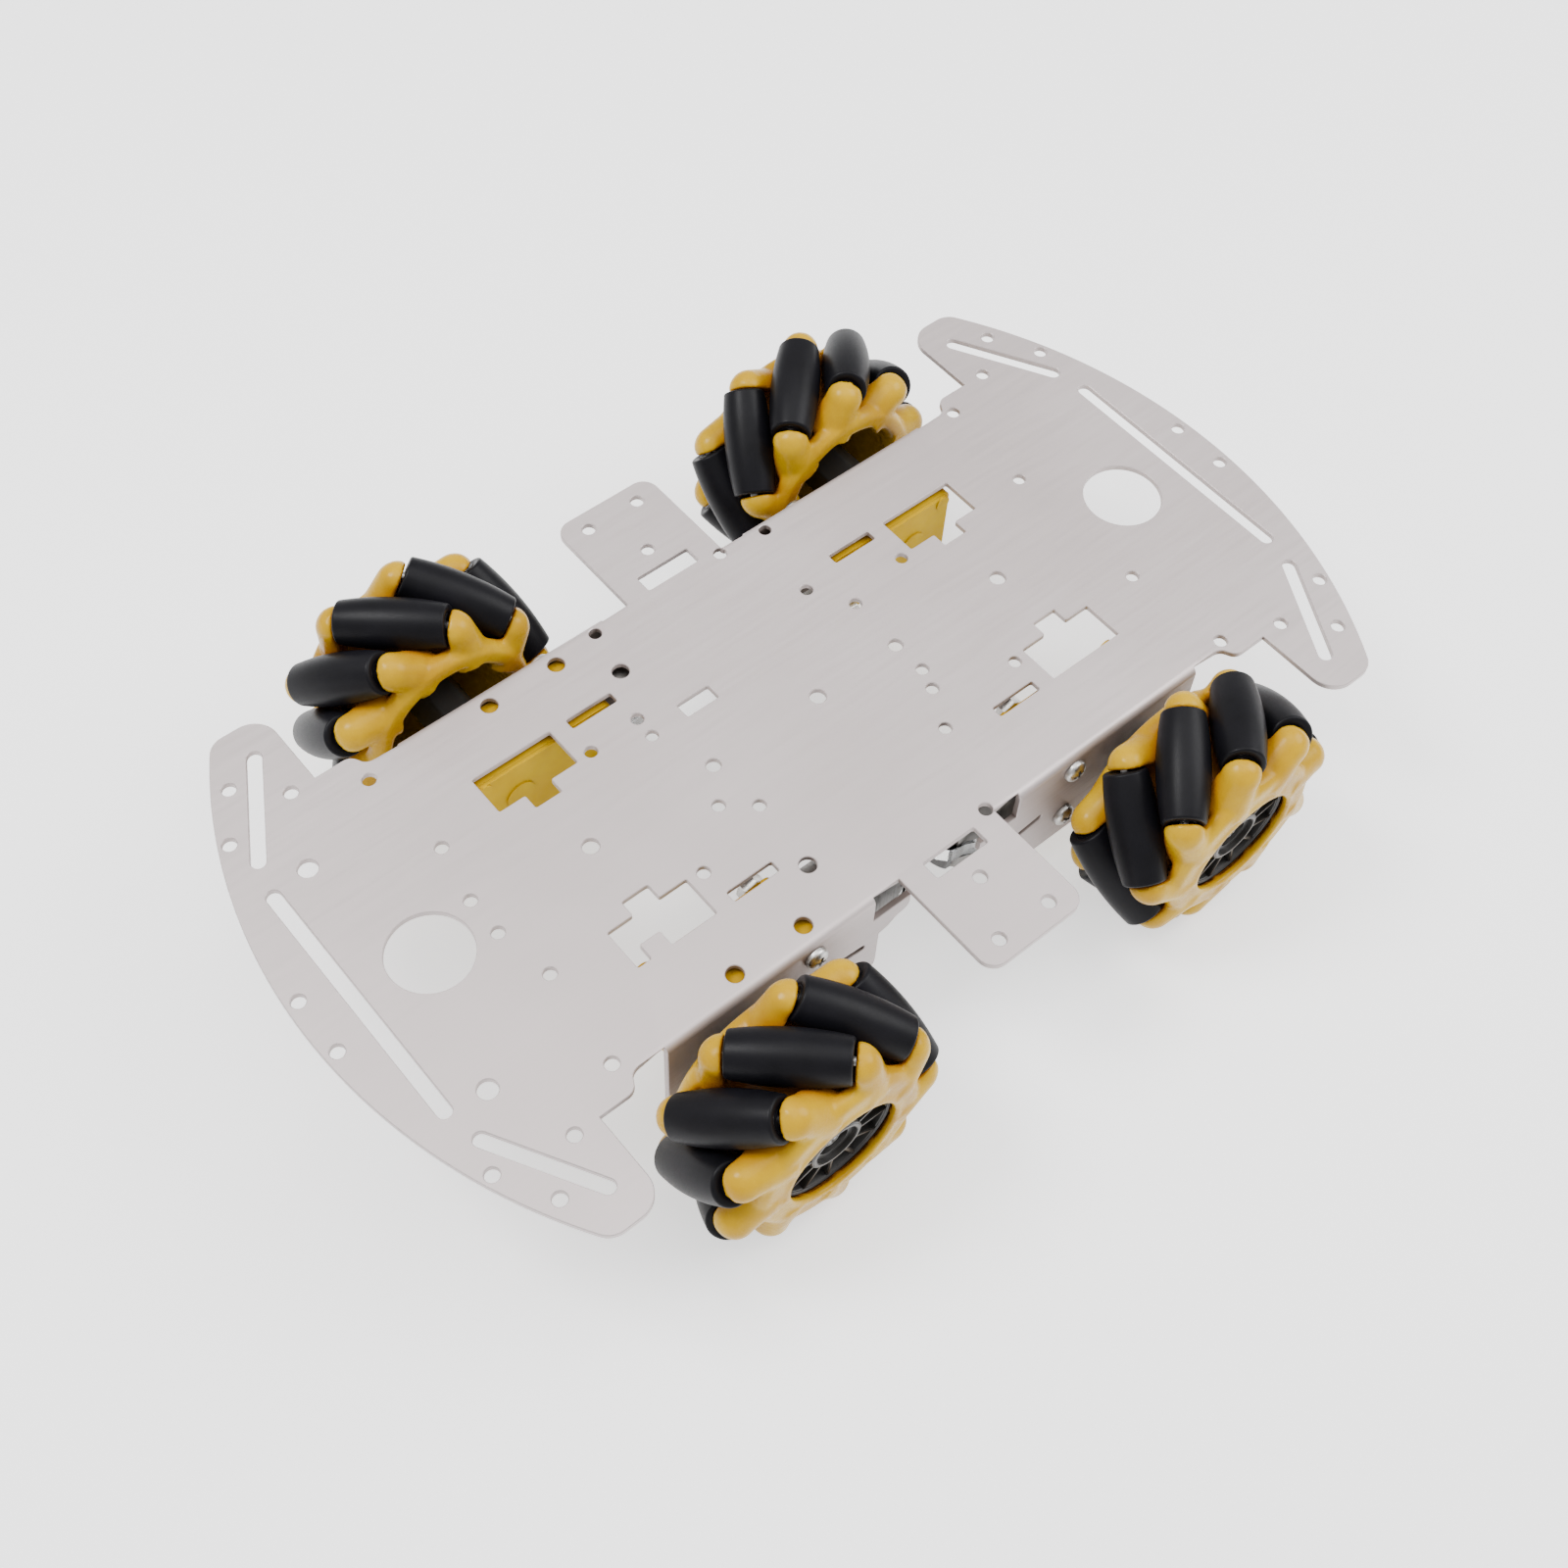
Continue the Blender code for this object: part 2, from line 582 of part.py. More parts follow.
def main():
    clear_scene()
    materials = make_materials()
    make_plate(materials["aluminium"])
    roller_mesh = make_roller_mesh(materials["rubber"])
    envelope = make_envelope(materials["yellow"])
    cutters = {
        hand: (make_lobes(hand, materials["yellow"]), envelope, make_pins(hand, materials["steel"]))
        for hand in (1, -1)}
    for corner, side_x, side_y, turn in CORNERS:
        make_gearbox(corner, side_x, side_y, materials["yellow"])
        make_motor(corner, side_x, side_y, materials["steel"])
        make_wheel(corner, side_x, side_y, turn, roller_mesh, cutters, materials)


main()
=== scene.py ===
"""The looks of the four-wheel mecanum robot base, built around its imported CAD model.

Sizes are in millimetres; new_piece() turns them into metres.
"""
import bpy
import bmesh
import json
from math import atan, atan2, cos, degrees, pi, radians, sin, sqrt
from mathutils import Matrix, Vector


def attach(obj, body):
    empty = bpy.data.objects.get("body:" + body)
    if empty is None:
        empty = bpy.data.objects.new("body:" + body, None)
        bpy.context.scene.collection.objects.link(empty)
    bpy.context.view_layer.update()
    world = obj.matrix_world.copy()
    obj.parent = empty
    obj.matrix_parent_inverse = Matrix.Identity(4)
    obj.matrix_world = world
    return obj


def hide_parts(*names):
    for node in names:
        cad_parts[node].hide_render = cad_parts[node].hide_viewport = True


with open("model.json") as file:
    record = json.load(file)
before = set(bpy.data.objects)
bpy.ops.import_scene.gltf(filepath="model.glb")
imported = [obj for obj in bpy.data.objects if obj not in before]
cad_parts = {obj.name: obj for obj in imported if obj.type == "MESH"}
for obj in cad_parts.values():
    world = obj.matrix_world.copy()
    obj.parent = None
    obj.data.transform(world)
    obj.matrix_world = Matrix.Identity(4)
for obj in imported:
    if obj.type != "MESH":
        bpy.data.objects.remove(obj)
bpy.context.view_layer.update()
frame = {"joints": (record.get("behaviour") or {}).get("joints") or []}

MM = 0.001
JOINTS = {joint["child"]: joint for joint in frame["joints"]}
CORNERS = (("fl", 1, 1), ("fr", 1, -1), ("rl", -1, 1), ("rr", -1, -1))

# ---------------------------------------------------------------- camera

CAMERA_PLACE = (-0.17851, -0.18720, 0.39890)
CAMERA_RIGHT = (0.76716, -0.64050, 0.03486)
CAMERA_DOWN = (-0.51834, -0.65102, -0.55452)
CAMERA_LENS = 46.225


def make_camera():
    data = bpy.data.cameras.new("camera")
    data.lens = CAMERA_LENS
    data.sensor_width = 36
    data.clip_start = 0.01
    camera = bpy.data.objects.new("camera", data)
    right = Vector(CAMERA_RIGHT).normalized()
    up = -Vector(CAMERA_DOWN).normalized()
    back = right.cross(up).normalized()
    up = back.cross(right)
    camera.matrix_world = Matrix.Translation(CAMERA_PLACE) @ Matrix((right, up, back)).transposed().to_4x4()
    bpy.context.scene.collection.objects.link(camera)
    bpy.context.scene.camera = camera


# ---------------------------------------------------------------- outlines, in millimetres

def arc(x, y, radius, start, end, steps):
    """Points on an arc about (x, y), with angles in degrees."""
    turns = [radians(start + (end - start) * step / steps) for step in range(steps + 1)]
    return [(x + radius * cos(turn), y + radius * sin(turn)) for turn in turns]


def circle(x, y, radius, steps):
    return arc(x, y, radius, 0, 360, steps)[:-1]


def slot(x, y, length, width, angle=0.0, steps=10):
    """A round-ended slot about (x, y)."""
    reach = (length - width) / 2
    outline = arc(reach, 0, width / 2, -90, 90, steps) + arc(-reach, 0, width / 2, 90, 270, steps)
    turn = Matrix.Rotation(radians(angle), 2)
    return [(x + p.x, y + p.y) for p in (turn @ Vector(point) for point in outline)]


def rounded(points, radius, steps=3):
    """An outline with each corner rounded by a short curve."""
    outline = []
    for i, corner in enumerate(points):
        here = Vector(corner)
        before = Vector(points[i - 1]) - here
        after = Vector(points[(i + 1) % len(points)]) - here
        cut = min(radius, before.length / 2.2, after.length / 2.2)
        start = here + before.normalized() * cut
        end = here + after.normalized() * cut
        for step in range(steps + 1):
            t = step / steps
            point = start * (1 - t) ** 2 + here * 2 * t * (1 - t) + end * t ** 2
            outline.append((point.x, point.y))
    return outline


def box_outline(x0, x1, y0, y1):
    return [(x0, y0), (x1, y0), (x1, y1), (x0, y1)]


def double_d(radius, flat, steps=10):
    """A round outline with flats at x = +flat and x = -flat."""
    half = 90 - degrees(atan(flat / sqrt(radius ** 2 - flat ** 2)))
    return arc(0, 0, radius, half, 180 - half, steps) + arc(0, 0, radius, 180 + half, 360 - half, steps)


# ---------------------------------------------------------------- solids, added to a bmesh

def add_loft(bm, rings, closed=False, index=0):
    """Skin rings of equal length; an open loft gets flat end caps."""
    rows = [[bm.verts.new(point) for point in ring] for ring in rings]
    faces = []
    pairs = list(zip(rows, rows[1:] + rows[:1])) if closed else list(zip(rows, rows[1:]))
    for low, high in pairs:
        for i in range(len(low)):
            j = (i + 1) % len(low)
            faces.append(bm.faces.new((low[i], low[j], high[j], high[i])))
    if not closed:
        faces.append(bm.faces.new(rows[0][::-1]))
        faces.append(bm.faces.new(rows[-1]))
    for face in faces:
        face.material_index = index
    return [vert for row in rows for vert in row]


def add_prism(bm, outline, z0, z1, index=0):
    return add_loft(bm, [[(x, y, z) for x, y in outline] for z in (z0, z1)], index=index)


def add_box(bm, x, y, z, index=0):
    return add_prism(bm, box_outline(x[0], x[1], y[0], y[1]), z[0], z[1], index)


def add_ring(bm, profile, segments, index=0):
    """Turn a closed profile of (radius, z) points about Z, faces pointing out."""
    turns = [2 * pi * i / segments for i in range(segments)]
    rings = [[(r * cos(turn), r * sin(turn), z) for turn in turns] for r, z in profile]
    area = sum(a[0] * b[1] - b[0] * a[1] for a, b in zip(profile, profile[1:] + profile[:1]))
    return add_loft(bm, rings if area > 0 else rings[::-1], closed=True, index=index)


def add_turned(bm, profile, segments, index=0):
    """Turn an open profile of (radius, z) points, low to high, into a solid with flat ends."""
    turns = [2 * pi * i / segments for i in range(segments)]
    rings = [[(r * cos(turn), r * sin(turn), z) for turn in turns] for r, z in profile]
    return add_loft(bm, rings, index=index)


def soften(bm, width, segments=2, angle=30):
    """Round the edges that are sharper than angle."""
    edges = [edge for edge in bm.edges if edge.is_manifold and edge.calc_face_angle(0) > radians(angle)]
    bmesh.ops.bevel(bm, geom=edges, offset=width, segments=segments, affect="EDGES", clamp_overlap=True)


def move(bm, verts, matrix):
    bmesh.ops.transform(bm, matrix=matrix, verts=verts)


def mirrored(bm, side_x, side_y):
    """Mirror a solid made for the front left corner to another corner."""
    bmesh.ops.scale(bm, vec=(side_x, side_y, 1), verts=bm.verts)
    if side_x * side_y < 0:
        bmesh.ops.reverse_faces(bm, faces=bm.faces)
    return bm


# ---------------------------------------------------------------- pieces

SHARP_ANGLE = 35


def new_mesh(name, bm, materials, sharp=SHARP_ANGLE):
    """Turn a bmesh in millimetres into a smooth-shaded mesh in metres."""
    bmesh.ops.scale(bm, vec=(MM, MM, MM), verts=bm.verts)
    mesh = bpy.data.meshes.new(name)
    bm.to_mesh(mesh)
    bm.free()
    mesh.shade_smooth()
    mesh.set_sharp_from_angle(angle=radians(sharp))
    for material in materials:
        mesh.materials.append(material)
    return mesh


def new_piece(name, mesh, body, place=None, replaced=()):
    """An object that shows the mesh at place (metres), rides on a body and replaces CAD nodes."""
    piece = bpy.data.objects.new(name, mesh)
    bpy.context.scene.collection.objects.link(piece)
    piece.matrix_world = place if place else Matrix()
    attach(piece, body)
    if replaced:
        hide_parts(*replaced)
    return piece


def evaluated_mesh(mesh, modifiers):
    """The mesh with these modifiers applied: (kind, settings) pairs."""
    obj = bpy.data.objects.new("work", mesh)
    bpy.context.scene.collection.objects.link(obj)
    for kind, settings in modifiers:
        modifier = obj.modifiers.new(kind, kind)
        for name, value in settings.items():
            setattr(modifier, name, value)
    graph = bpy.context.evaluated_depsgraph_get()
    result = bpy.data.meshes.new_from_object(obj.evaluated_get(graph))
    bpy.data.objects.remove(obj)
    return result


def carved(mesh, *cutters):
    """The mesh with the cutter meshes taken out of it."""
    helpers = []
    for cutter in cutters:
        helper = bpy.data.objects.new("cutter", cutter)
        bpy.context.scene.collection.objects.link(helper)
        helpers.append(helper)
    cut = {"operation": "DIFFERENCE", "solver": "EXACT", "use_self": True}
    result = evaluated_mesh(mesh, [("BOOLEAN", {**cut, "object": helper}) for helper in helpers])
    for helper in helpers:
        bpy.data.objects.remove(helper)
    result.shade_smooth()
    result.set_sharp_from_angle(angle=radians(SHARP_ANGLE))
    return result


# ---------------------------------------------------------------- materials

def new_material(name, colour, roughness, metallic=0.0, **sockets):
    """A Principled material; sockets holds further constant inputs."""
    material = bpy.data.materials.new(name)
    material.use_nodes = True
    shader = material.node_tree.nodes["Principled BSDF"]
    shader.inputs["Base Color"].default_value = (*colour, 1)
    shader.inputs["Roughness"].default_value = roughness
    shader.inputs["Metallic"].default_value = metallic
    for socket, value in sockets.items():
        shader.inputs[socket.replace("_", " ")].default_value = value
    return material


def add_node(material, kind, **inputs):
    node = material.node_tree.nodes.new(kind)
    for socket, value in inputs.items():
        node.inputs[socket.replace("_", " ")].default_value = value
    return node


def connect(material, source, target):
    material.node_tree.links.new(source, target)


def noise(material, scale, detail=4.0, stretch=(1, 1, 1), roughness=0.55):
    """Noise over the object's own coordinates; scale is in features for each metre."""
    place = add_node(material, "ShaderNodeTexCoord")
    mapping = add_node(material, "ShaderNodeMapping", Scale=stretch)
    texture = add_node(material, "ShaderNodeTexNoise", Scale=scale, Detail=detail, Roughness=roughness)
    connect(material, place.outputs["Object"], mapping.inputs["Vector"])
    connect(material, mapping.outputs["Vector"], texture.inputs["Vector"])
    return texture.outputs["Fac"]


def ramp(material, source, stops):
    """A colour ramp with (position, colour) stops."""
    node = add_node(material, "ShaderNodeValToRGB")
    elements = node.color_ramp.elements
    while len(elements) < len(stops):
        elements.new(0.5)
    for element, (position, colour) in zip(elements, stops):
        element.position = position
        element.color = (*colour, 1)
    connect(material, source, node.inputs["Fac"])
    return node.outputs["Color"]


def spread(material, source, low, high, start=0.3, end=0.7):
    """Map a factor from start..end to low..high."""
    node = add_node(material, "ShaderNodeMapRange")
    node.inputs["From Min"].default_value = start
    node.inputs["From Max"].default_value = end
    node.inputs["To Min"].default_value = low
    node.inputs["To Max"].default_value = high
    connect(material, source, node.inputs["Value"])
    return node.outputs["Result"]


def tint(material, base, shade, factor):
    """Mix the shade over the base by the factor."""
    node = material.node_tree.nodes.new("ShaderNodeMix")
    node.data_type = "RGBA"
    connect(material, factor, node.inputs["Factor"])
    connect(material, base, node.inputs["A"])
    node.inputs["B"].default_value = (*shade, 1)
    return node.outputs["Result"]


def bump(material, layers):
    """Stack bumps on the shader: (source, height in metres) pairs."""
    shader = material.node_tree.nodes["Principled BSDF"]
    normal = None
    for source, height in layers:
        node = add_node(material, "ShaderNodeBump", Strength=1.0, Distance=height)
        connect(material, source, node.inputs["Height"])
        if normal:
            connect(material, normal, node.inputs["Normal"])
        normal = node.outputs["Normal"]
    connect(material, normal, shader.inputs["Normal"])


def shader_input(material, source, socket):
    connect(material, source, material.node_tree.nodes["Principled BSDF"].inputs[socket])


def aluminium():
    """Satin sheet: faint cloudy tone, a very fine grain along X, and a painted brown shade where it is hemmed
    in, which stands in for shade and for the wheels' reflection.
    """
    material = new_material("satin_aluminium", (0.46, 0.405, 0.40), 0.42, 0.45)
    clouds = noise(material, 16, 2.0)
    tone = ramp(material, clouds, ((0.3, (0.435, 0.382, 0.376)), (0.7, (0.485, 0.43, 0.426))))
    shelter = add_node(material, "ShaderNodeAmbientOcclusion", Distance=0.018)
    shelter.samples = 6
    painted_shade_mask = spread(material, shelter.outputs["AO"], 0.62, 0.0, 0.25, 0.72)
    # painted shade and painted reflection: the sheet is tinted brown where ambient occlusion finds it hemmed
    # in
    shader_input(material, tint(material, tone, (0.115, 0.070, 0.040), painted_shade_mask), "Base Color")
    grain = noise(material, 900, 3.0, (0.06, 1, 1))
    shader_input(material, spread(material, grain, 0.36, 0.5), "Roughness")
    bump(material, ((grain, 6e-6), (noise(material, 5200, 2.0), 3e-6)))
    return material


def glossy_yellow(name, deep, base, light, crevice_shade, roughness, gloss):
    """Moulded glossy yellow: uneven tone, a painted brown shade where light cannot reach, slight ripples."""
    material = new_material(name, base, roughness, Specular_IOR_Level=gloss)
    tone = ramp(material, noise(material, 85, 3.0), ((0.3, deep), (0.52, base), (0.75, light)))
    shelter = add_node(material, "ShaderNodeAmbientOcclusion", Distance=0.007)
    shelter.samples = 6
    painted_shade_mask = spread(material, shelter.outputs["AO"], 0.85, 0.0, 0.15, 0.75)
    # painted shade: the crevice colour is mixed in where ambient occlusion finds the surface hemmed in
    shader_input(material, tint(material, tone, crevice_shade, painted_shade_mask), "Base Color")
    skin = noise(material, 700, 3.0)
    shader_input(material, spread(material, skin, roughness * 0.8, roughness * 1.3), "Roughness")
    bump(material, ((noise(material, 260, 2.0), 4e-5), (noise(material, 3200, 2.0), 4e-6)))
    return material


def roller_rubber():
    """Satin near-black rubber with a fine skin and a slight bloom."""
    material = new_material("roller_rubber", (0.004, 0.004, 0.005), 0.4, Specular_IOR_Level=0.11)
    dark = (0.0028, 0.0027, 0.0036)
    light = (0.0052, 0.005, 0.0068)
    tone = ramp(material, noise(material, 120, 4.0), ((0.3, dark), (0.72, light)))
    shader_input(material, tone, "Base Color")
    skin = noise(material, 4200, 4.0)
    shader_input(material, spread(material, skin, 0.34, 0.48), "Roughness")
    bump(material, ((skin, 7e-6), (noise(material, 420, 2.0), 1.5e-5)))
    return material


def moulded(name, colour, roughness, grain=2600, depth=6e-6):
    """Moulded plastic with a fine texture and a slightly uneven tone."""
    material = new_material(name, colour, roughness)
    dark = tuple(channel * 0.8 for channel in colour)
    light = tuple(min(1.0, channel * 1.15) for channel in colour)
    tone = ramp(material, noise(material, 160, 3.0), ((0.3, dark), (0.7, light)))
    shader_input(material, tone, "Base Color")
    texture = noise(material, grain, 3.0)
    shader_input(material, spread(material, texture, roughness * 0.85, roughness * 1.2), "Roughness")
    bump(material, ((texture, depth),))
    return material


def plated(name, colour, roughness, stretch=(1, 1, 1), grain=1800):
    """Plated steel with fine lines and a little tarnish."""
    material = new_material(name, colour, roughness, 1.0)
    dark = tuple(channel * 0.72 for channel in colour)
    tone = ramp(material, noise(material, 210, 4.0), ((0.35, dark), (0.65, colour)))
    shader_input(material, tone, "Base Color")
    lines = noise(material, grain, 3.0, stretch)
    shader_input(material, spread(material, lines, roughness * 0.7, roughness * 1.4), "Roughness")
    bump(material, ((lines, 5e-6),))
    return material


def clear_plastic():
    material = new_material(
        "clear_plastic", (0.93, 0.95, 0.96), 0.12, Transmission_Weight=0.92, IOR=1.46)
    haze = noise(material, 500, 3.0)
    shader_input(material, spread(material, haze, 0.08, 0.22), "Roughness")
    bump(material, ((haze, 8e-6),))
    return material


def floor_paint():
    """A pale light table: matt, and glowing a little from below."""
    material = new_material(
        "studio_floor", (0.66, 0.66, 0.66), 0.75, Specular_IOR_Level=0.2,
        Emission_Color=(1.0, 1.0, 1.0, 1.0), Emission_Strength=1.1)
    tone = ramp(material, noise(material, 6, 2.0), ((0.0, (0.645, 0.645, 0.65)), (1.0, (0.675, 0.675, 0.68))))
    shader_input(material, tone, "Base Color")
    return material


def make_materials():
    return {
        "plate": aluminium(),
        # the last colour given to each glossy yellow is its painted crevice shade
        "hub": glossy_yellow(
            "hub_yellow", (0.35, 0.185, 0.0), (0.42, 0.245, 0.0), (0.49, 0.305, 0.001),
            (0.32, 0.075, 0.001), 0.26, 0.16),
        "gearbox": glossy_yellow(
            "gearbox_yellow", (0.42, 0.26, 0.0), (0.48, 0.31, 0.0), (0.54, 0.37, 0.002),
            (0.30, 0.13, 0.001), 0.42, 0.05),
        "rubber": roller_rubber(),
        "black": moulded("black_plastic", (0.018, 0.017, 0.016), 0.34),
        "white": moulded("white_nylon", (0.78, 0.77, 0.73), 0.4),
        "can": plated("motor_can_steel", (0.20, 0.19, 0.18), 0.36, (1, 0.08, 0.08)),
        "zinc": plated("zinc_fastener", (0.56, 0.55, 0.53), 0.34),
        "brass": plated("tinned_brass", (0.75, 0.62, 0.36), 0.3),
        "clear": clear_plastic(),
        "floor": floor_paint()}


# ---------------------------------------------------------------- chassis plate

DECK_TOP = 43.6
SHEET = 1.5
EDGE = 0.16
BEND_START = 45.0
BEND_R = 2.0
BEND_STEPS = 8
BEND_LENGTH = BEND_R * pi / 2
BUMPER_R = 127.5
BUMPER_INNER_X = 93.4
BUMPER_TIP_Y = 70.8
TIP_OUTER_R = 5.0
TIP_INNER_R = 6.0
NECK_X = 86.5
NECK_Y = 49.8
NECK_R = 3.0
WAIST_X = 81.0
WAIST_Y = 46.0
TAB_HALF = 13.5
TAB_END_Y = 74.1
TAB_CORNER_R = 4.0
FLANGE_X = (18.3, 74.8)
FLANGE_DEPTH = 31.0
FLANGE_CORNER_R = 4.0
TONGUE_ROOT_X = 20.5
TONGUE_X = 14.2
TONGUE_END_X = 10.0
TONGUE_DEPTHS = (8.5, 15.5)
CABLE_HOLES = ((98.3, 0, 9.3), (-98.3, 0, 9.3))
BUMPER_HOLES = ((109.05, 58.3), (116.05, 46.5), (124.5, 6.96), (99.3, 49.7))
FREE_HOLES = (
    (-84.8, 42.3, 1.6), (-84.8, -42.3, 1.6), (84.8, 44.6, 1.6), (84.8, -44.6, 1.6),
    (-106.6, 31.7, 2.2), (-106.6, -31.7, 2.2), (-85.1, 4.8, 1.5), (-85.1, -4.8, 1.5),
    (-82.5, 18.9, 1.5), (-82.5, -18.9, 1.5), (82.5, 18.9, 1.5), (82.5, -18.9, 1.5),
    (-44.0, 19.0, 1.5), (-44.0, -19.6, 1.5), (44.2, 18.0, 1.5), (44.2, -20.0, 1.5),
    (-58.3, 0, 1.9), (-25.7, 0, 1.7), (3.6, 0, 1.9), (26.4, 0, 1.7), (57.7, 0, 1.9),
    (-53.9, 42.4, 2.0), (-53.9, -42.0, 2.0), (-36.0, 42.4, 2.0), (-36.0, -42.0, 2.0),
    (-26.0, 32.2, 2.0), (-26.0, -31.6, 2.0), (-24.1, 44.0, 1.5), (24.9, 44.0, 1.5),
    (12.3, 44.9, 1.6), (12.3, -44.6, 1.6), (-31.0, 19.7, 1.5), (-31.2, 14.2, 1.4),
    (-31.3, -8.7, 1.5), (-24.5, -14.0, 1.5), (21.0, 24.4, 1.5), (27.1, 14.5, 1.5),
    (26.6, -8.7, 1.5), (24.8, -14.0, 1.5), (19.8, -23.7, 1.5), (0, 56.1, 1.6), (0, -56.1, 1.6),
    (7.0, 69.3, 1.6), (-7.0, 69.3, 1.6), (7.0, -69.3, 1.6), (-7.0, -69.3, 1.6))
BUMPER_SLOT_X = 115.6
BUMPER_SLOT_LENGTH = 63.7
SLOT_WIDTH = 3.3
SIDE_SLOT = ((99.8, 63.4), (114.4, 37.9))
OBLONG_SLOTS = (
    (-17.8, 15.3, 8.7, 4.0), (0, 48.6, 14.4, 4.6), (0, -48.6, 14.4, 4.6),
    (37.4, 27.6, 12.0, 2.8), (37.4, -27.6, 12.0, 2.8), (-37.4, 27.6, 12.0, 2.8), (-37.4, -27.6, 12.0, 2.8))
WINDOW_X = (47.8, 68.1)
WINDOW_Y = (18.6, 28.8)
STEP_X = (54.8, 61.5)
STEP_Y = 14.7
NIB_X = (59.5, 64.7)
NIB_Y = 24.8
AXLE_X = 57.5
AXLE_Z = 30.0
AXLE_DEPTH = DECK_TOP - AXLE_Z
BOLT_INBOARD = 20.6
BOLT_PITCH = 17.5
FLANGE_HOLES = (
    (AXLE_X, AXLE_DEPTH, 4.2),
    (AXLE_X - BOLT_INBOARD, AXLE_DEPTH - BOLT_PITCH / 2, 1.6),
    (AXLE_X - BOLT_INBOARD, AXLE_DEPTH + BOLT_PITCH / 2, 1.6))

FLANGE_SLOT = (26.0, 17.0, 7.5, 1.8, 8.0)


def flat_y(depth):
    """Where a point of the flange at this depth lies on the sheet before folding."""
    return BEND_START + BEND_LENGTH + depth - BEND_R


def flange_outline():
    """The flange from its outboard end to its tongue beside the tab, on the flat sheet."""
    x0, x1 = FLANGE_X
    r = FLANGE_CORNER_R
    bottom = flat_y(FLANGE_DEPTH)
    top, low = (flat_y(depth) for depth in TONGUE_DEPTHS)
    return (
        [(x1, WAIST_Y)] + arc(x1 - r, bottom - r, r, 0, 90, 8)
        + arc(x0 + r, bottom - r, r, 90, 180, 8) + [(x0, low + 0.6), (x0 - 0.6, low)]
        + arc(TONGUE_X + r / 2, low - r, r / 2, 90, 180, 6)
        + [(TONGUE_X, top), (TONGUE_ROOT_X, top), (TONGUE_ROOT_X, WAIST_Y), (TAB_HALF, WAIST_Y)])


def plate_quarter():
    """The flat sheet's outline from the middle of the front bumper to the middle of the left tab."""
    tip_y = BUMPER_TIP_Y - TIP_OUTER_R
    tip_x = sqrt((BUMPER_R - TIP_OUTER_R) ** 2 - tip_y ** 2)
    tip_angle = degrees(atan2(tip_y, tip_x))
    inner_x = BUMPER_INNER_X + TIP_INNER_R
    inner_y = BUMPER_TIP_Y - TIP_INNER_R
    return (
        arc(0, 0, BUMPER_R, 0, tip_angle, 40)
        + arc(tip_x, tip_y, TIP_OUTER_R, tip_angle, 90, 8)[1:]
        + arc(inner_x, inner_y, TIP_INNER_R, 90, 180, 10)
        + [(BUMPER_INNER_X, NECK_Y)]
        + arc(NECK_X, NECK_Y - NECK_R, NECK_R, 90, 140, 6)
        + arc(WAIST_X, WAIST_Y + NECK_R, NECK_R, 320, 270, 6)
        + flange_outline()
        + arc(TAB_HALF - TAB_CORNER_R, TAB_END_Y - TAB_CORNER_R, TAB_CORNER_R, 0, 90, 8)
        + [(0, TAB_END_Y)])


def plate_outline():
    quarter = plate_quarter()
    left = quarter + [(-x, y) for x, y in reversed(quarter[:-1])]
    return left[:-1] + [(-x, -y) for x, y in left[:-1]]


def window(side_x, side_y):
    """A motor window; the rear right one has a nib on its outer edge."""
    x0, x1 = WINDOW_X
    y0, y1 = WINDOW_Y
    outline = [(x0, y0), (STEP_X[0], y0), (STEP_X[0], STEP_Y), (STEP_X[1], STEP_Y), (STEP_X[1], y0), (x1, y0)]
    outline.append((x1, y1))
    if side_x < 0 and side_y < 0:
        outline += [(NIB_X[1], y1), (NIB_X[1], NIB_Y), (NIB_X[0], NIB_Y), (NIB_X[0], y1)]
    outline.append((x0, y1))
    return rounded([(side_x * x, side_y * y) for x, y in outline], 0.5)


def plate_holes():
    holes = [circle(x, y, r, 64) for x, y, r in CABLE_HOLES]
    holes += [circle(x, y, r, 24) for x, y, r in FREE_HOLES]
    for x, y, length, width in OBLONG_SLOTS:
        corners = box_outline(x - length / 2, x + length / 2, y - width / 2, y + width / 2)
        holes.append(rounded(corners, 0.6))
    for side_x in (1, -1):
        holes.append(slot(side_x * BUMPER_SLOT_X, 0, BUMPER_SLOT_LENGTH, SLOT_WIDTH, 90))
    (ax, ay), (bx, by) = SIDE_SLOT
    length = sqrt((bx - ax) ** 2 + (by - ay) ** 2)
    slope = degrees(atan((by - ay) / (bx - ax)))
    for _, side_x, side_y in CORNERS:
        holes += [circle(side_x * x, side_y * y, 1.6, 24) for x, y in BUMPER_HOLES]
        middle = (side_x * (ax + bx) / 2, side_y * (ay + by) / 2)
        holes.append(slot(*middle, length, SLOT_WIDTH, side_x * side_y * slope))
        holes.append(window(side_x, side_y))
        for x, depth, radius in FLANGE_HOLES:
            holes.append(circle(side_x * x, side_y * flat_y(depth), radius, 24))
        x, depth, reach, width, tilt = FLANGE_SLOT
        holes.append(slot(side_x * x, side_y * flat_y(depth), reach, width, -side_x * side_y * tilt, 5))
    return holes


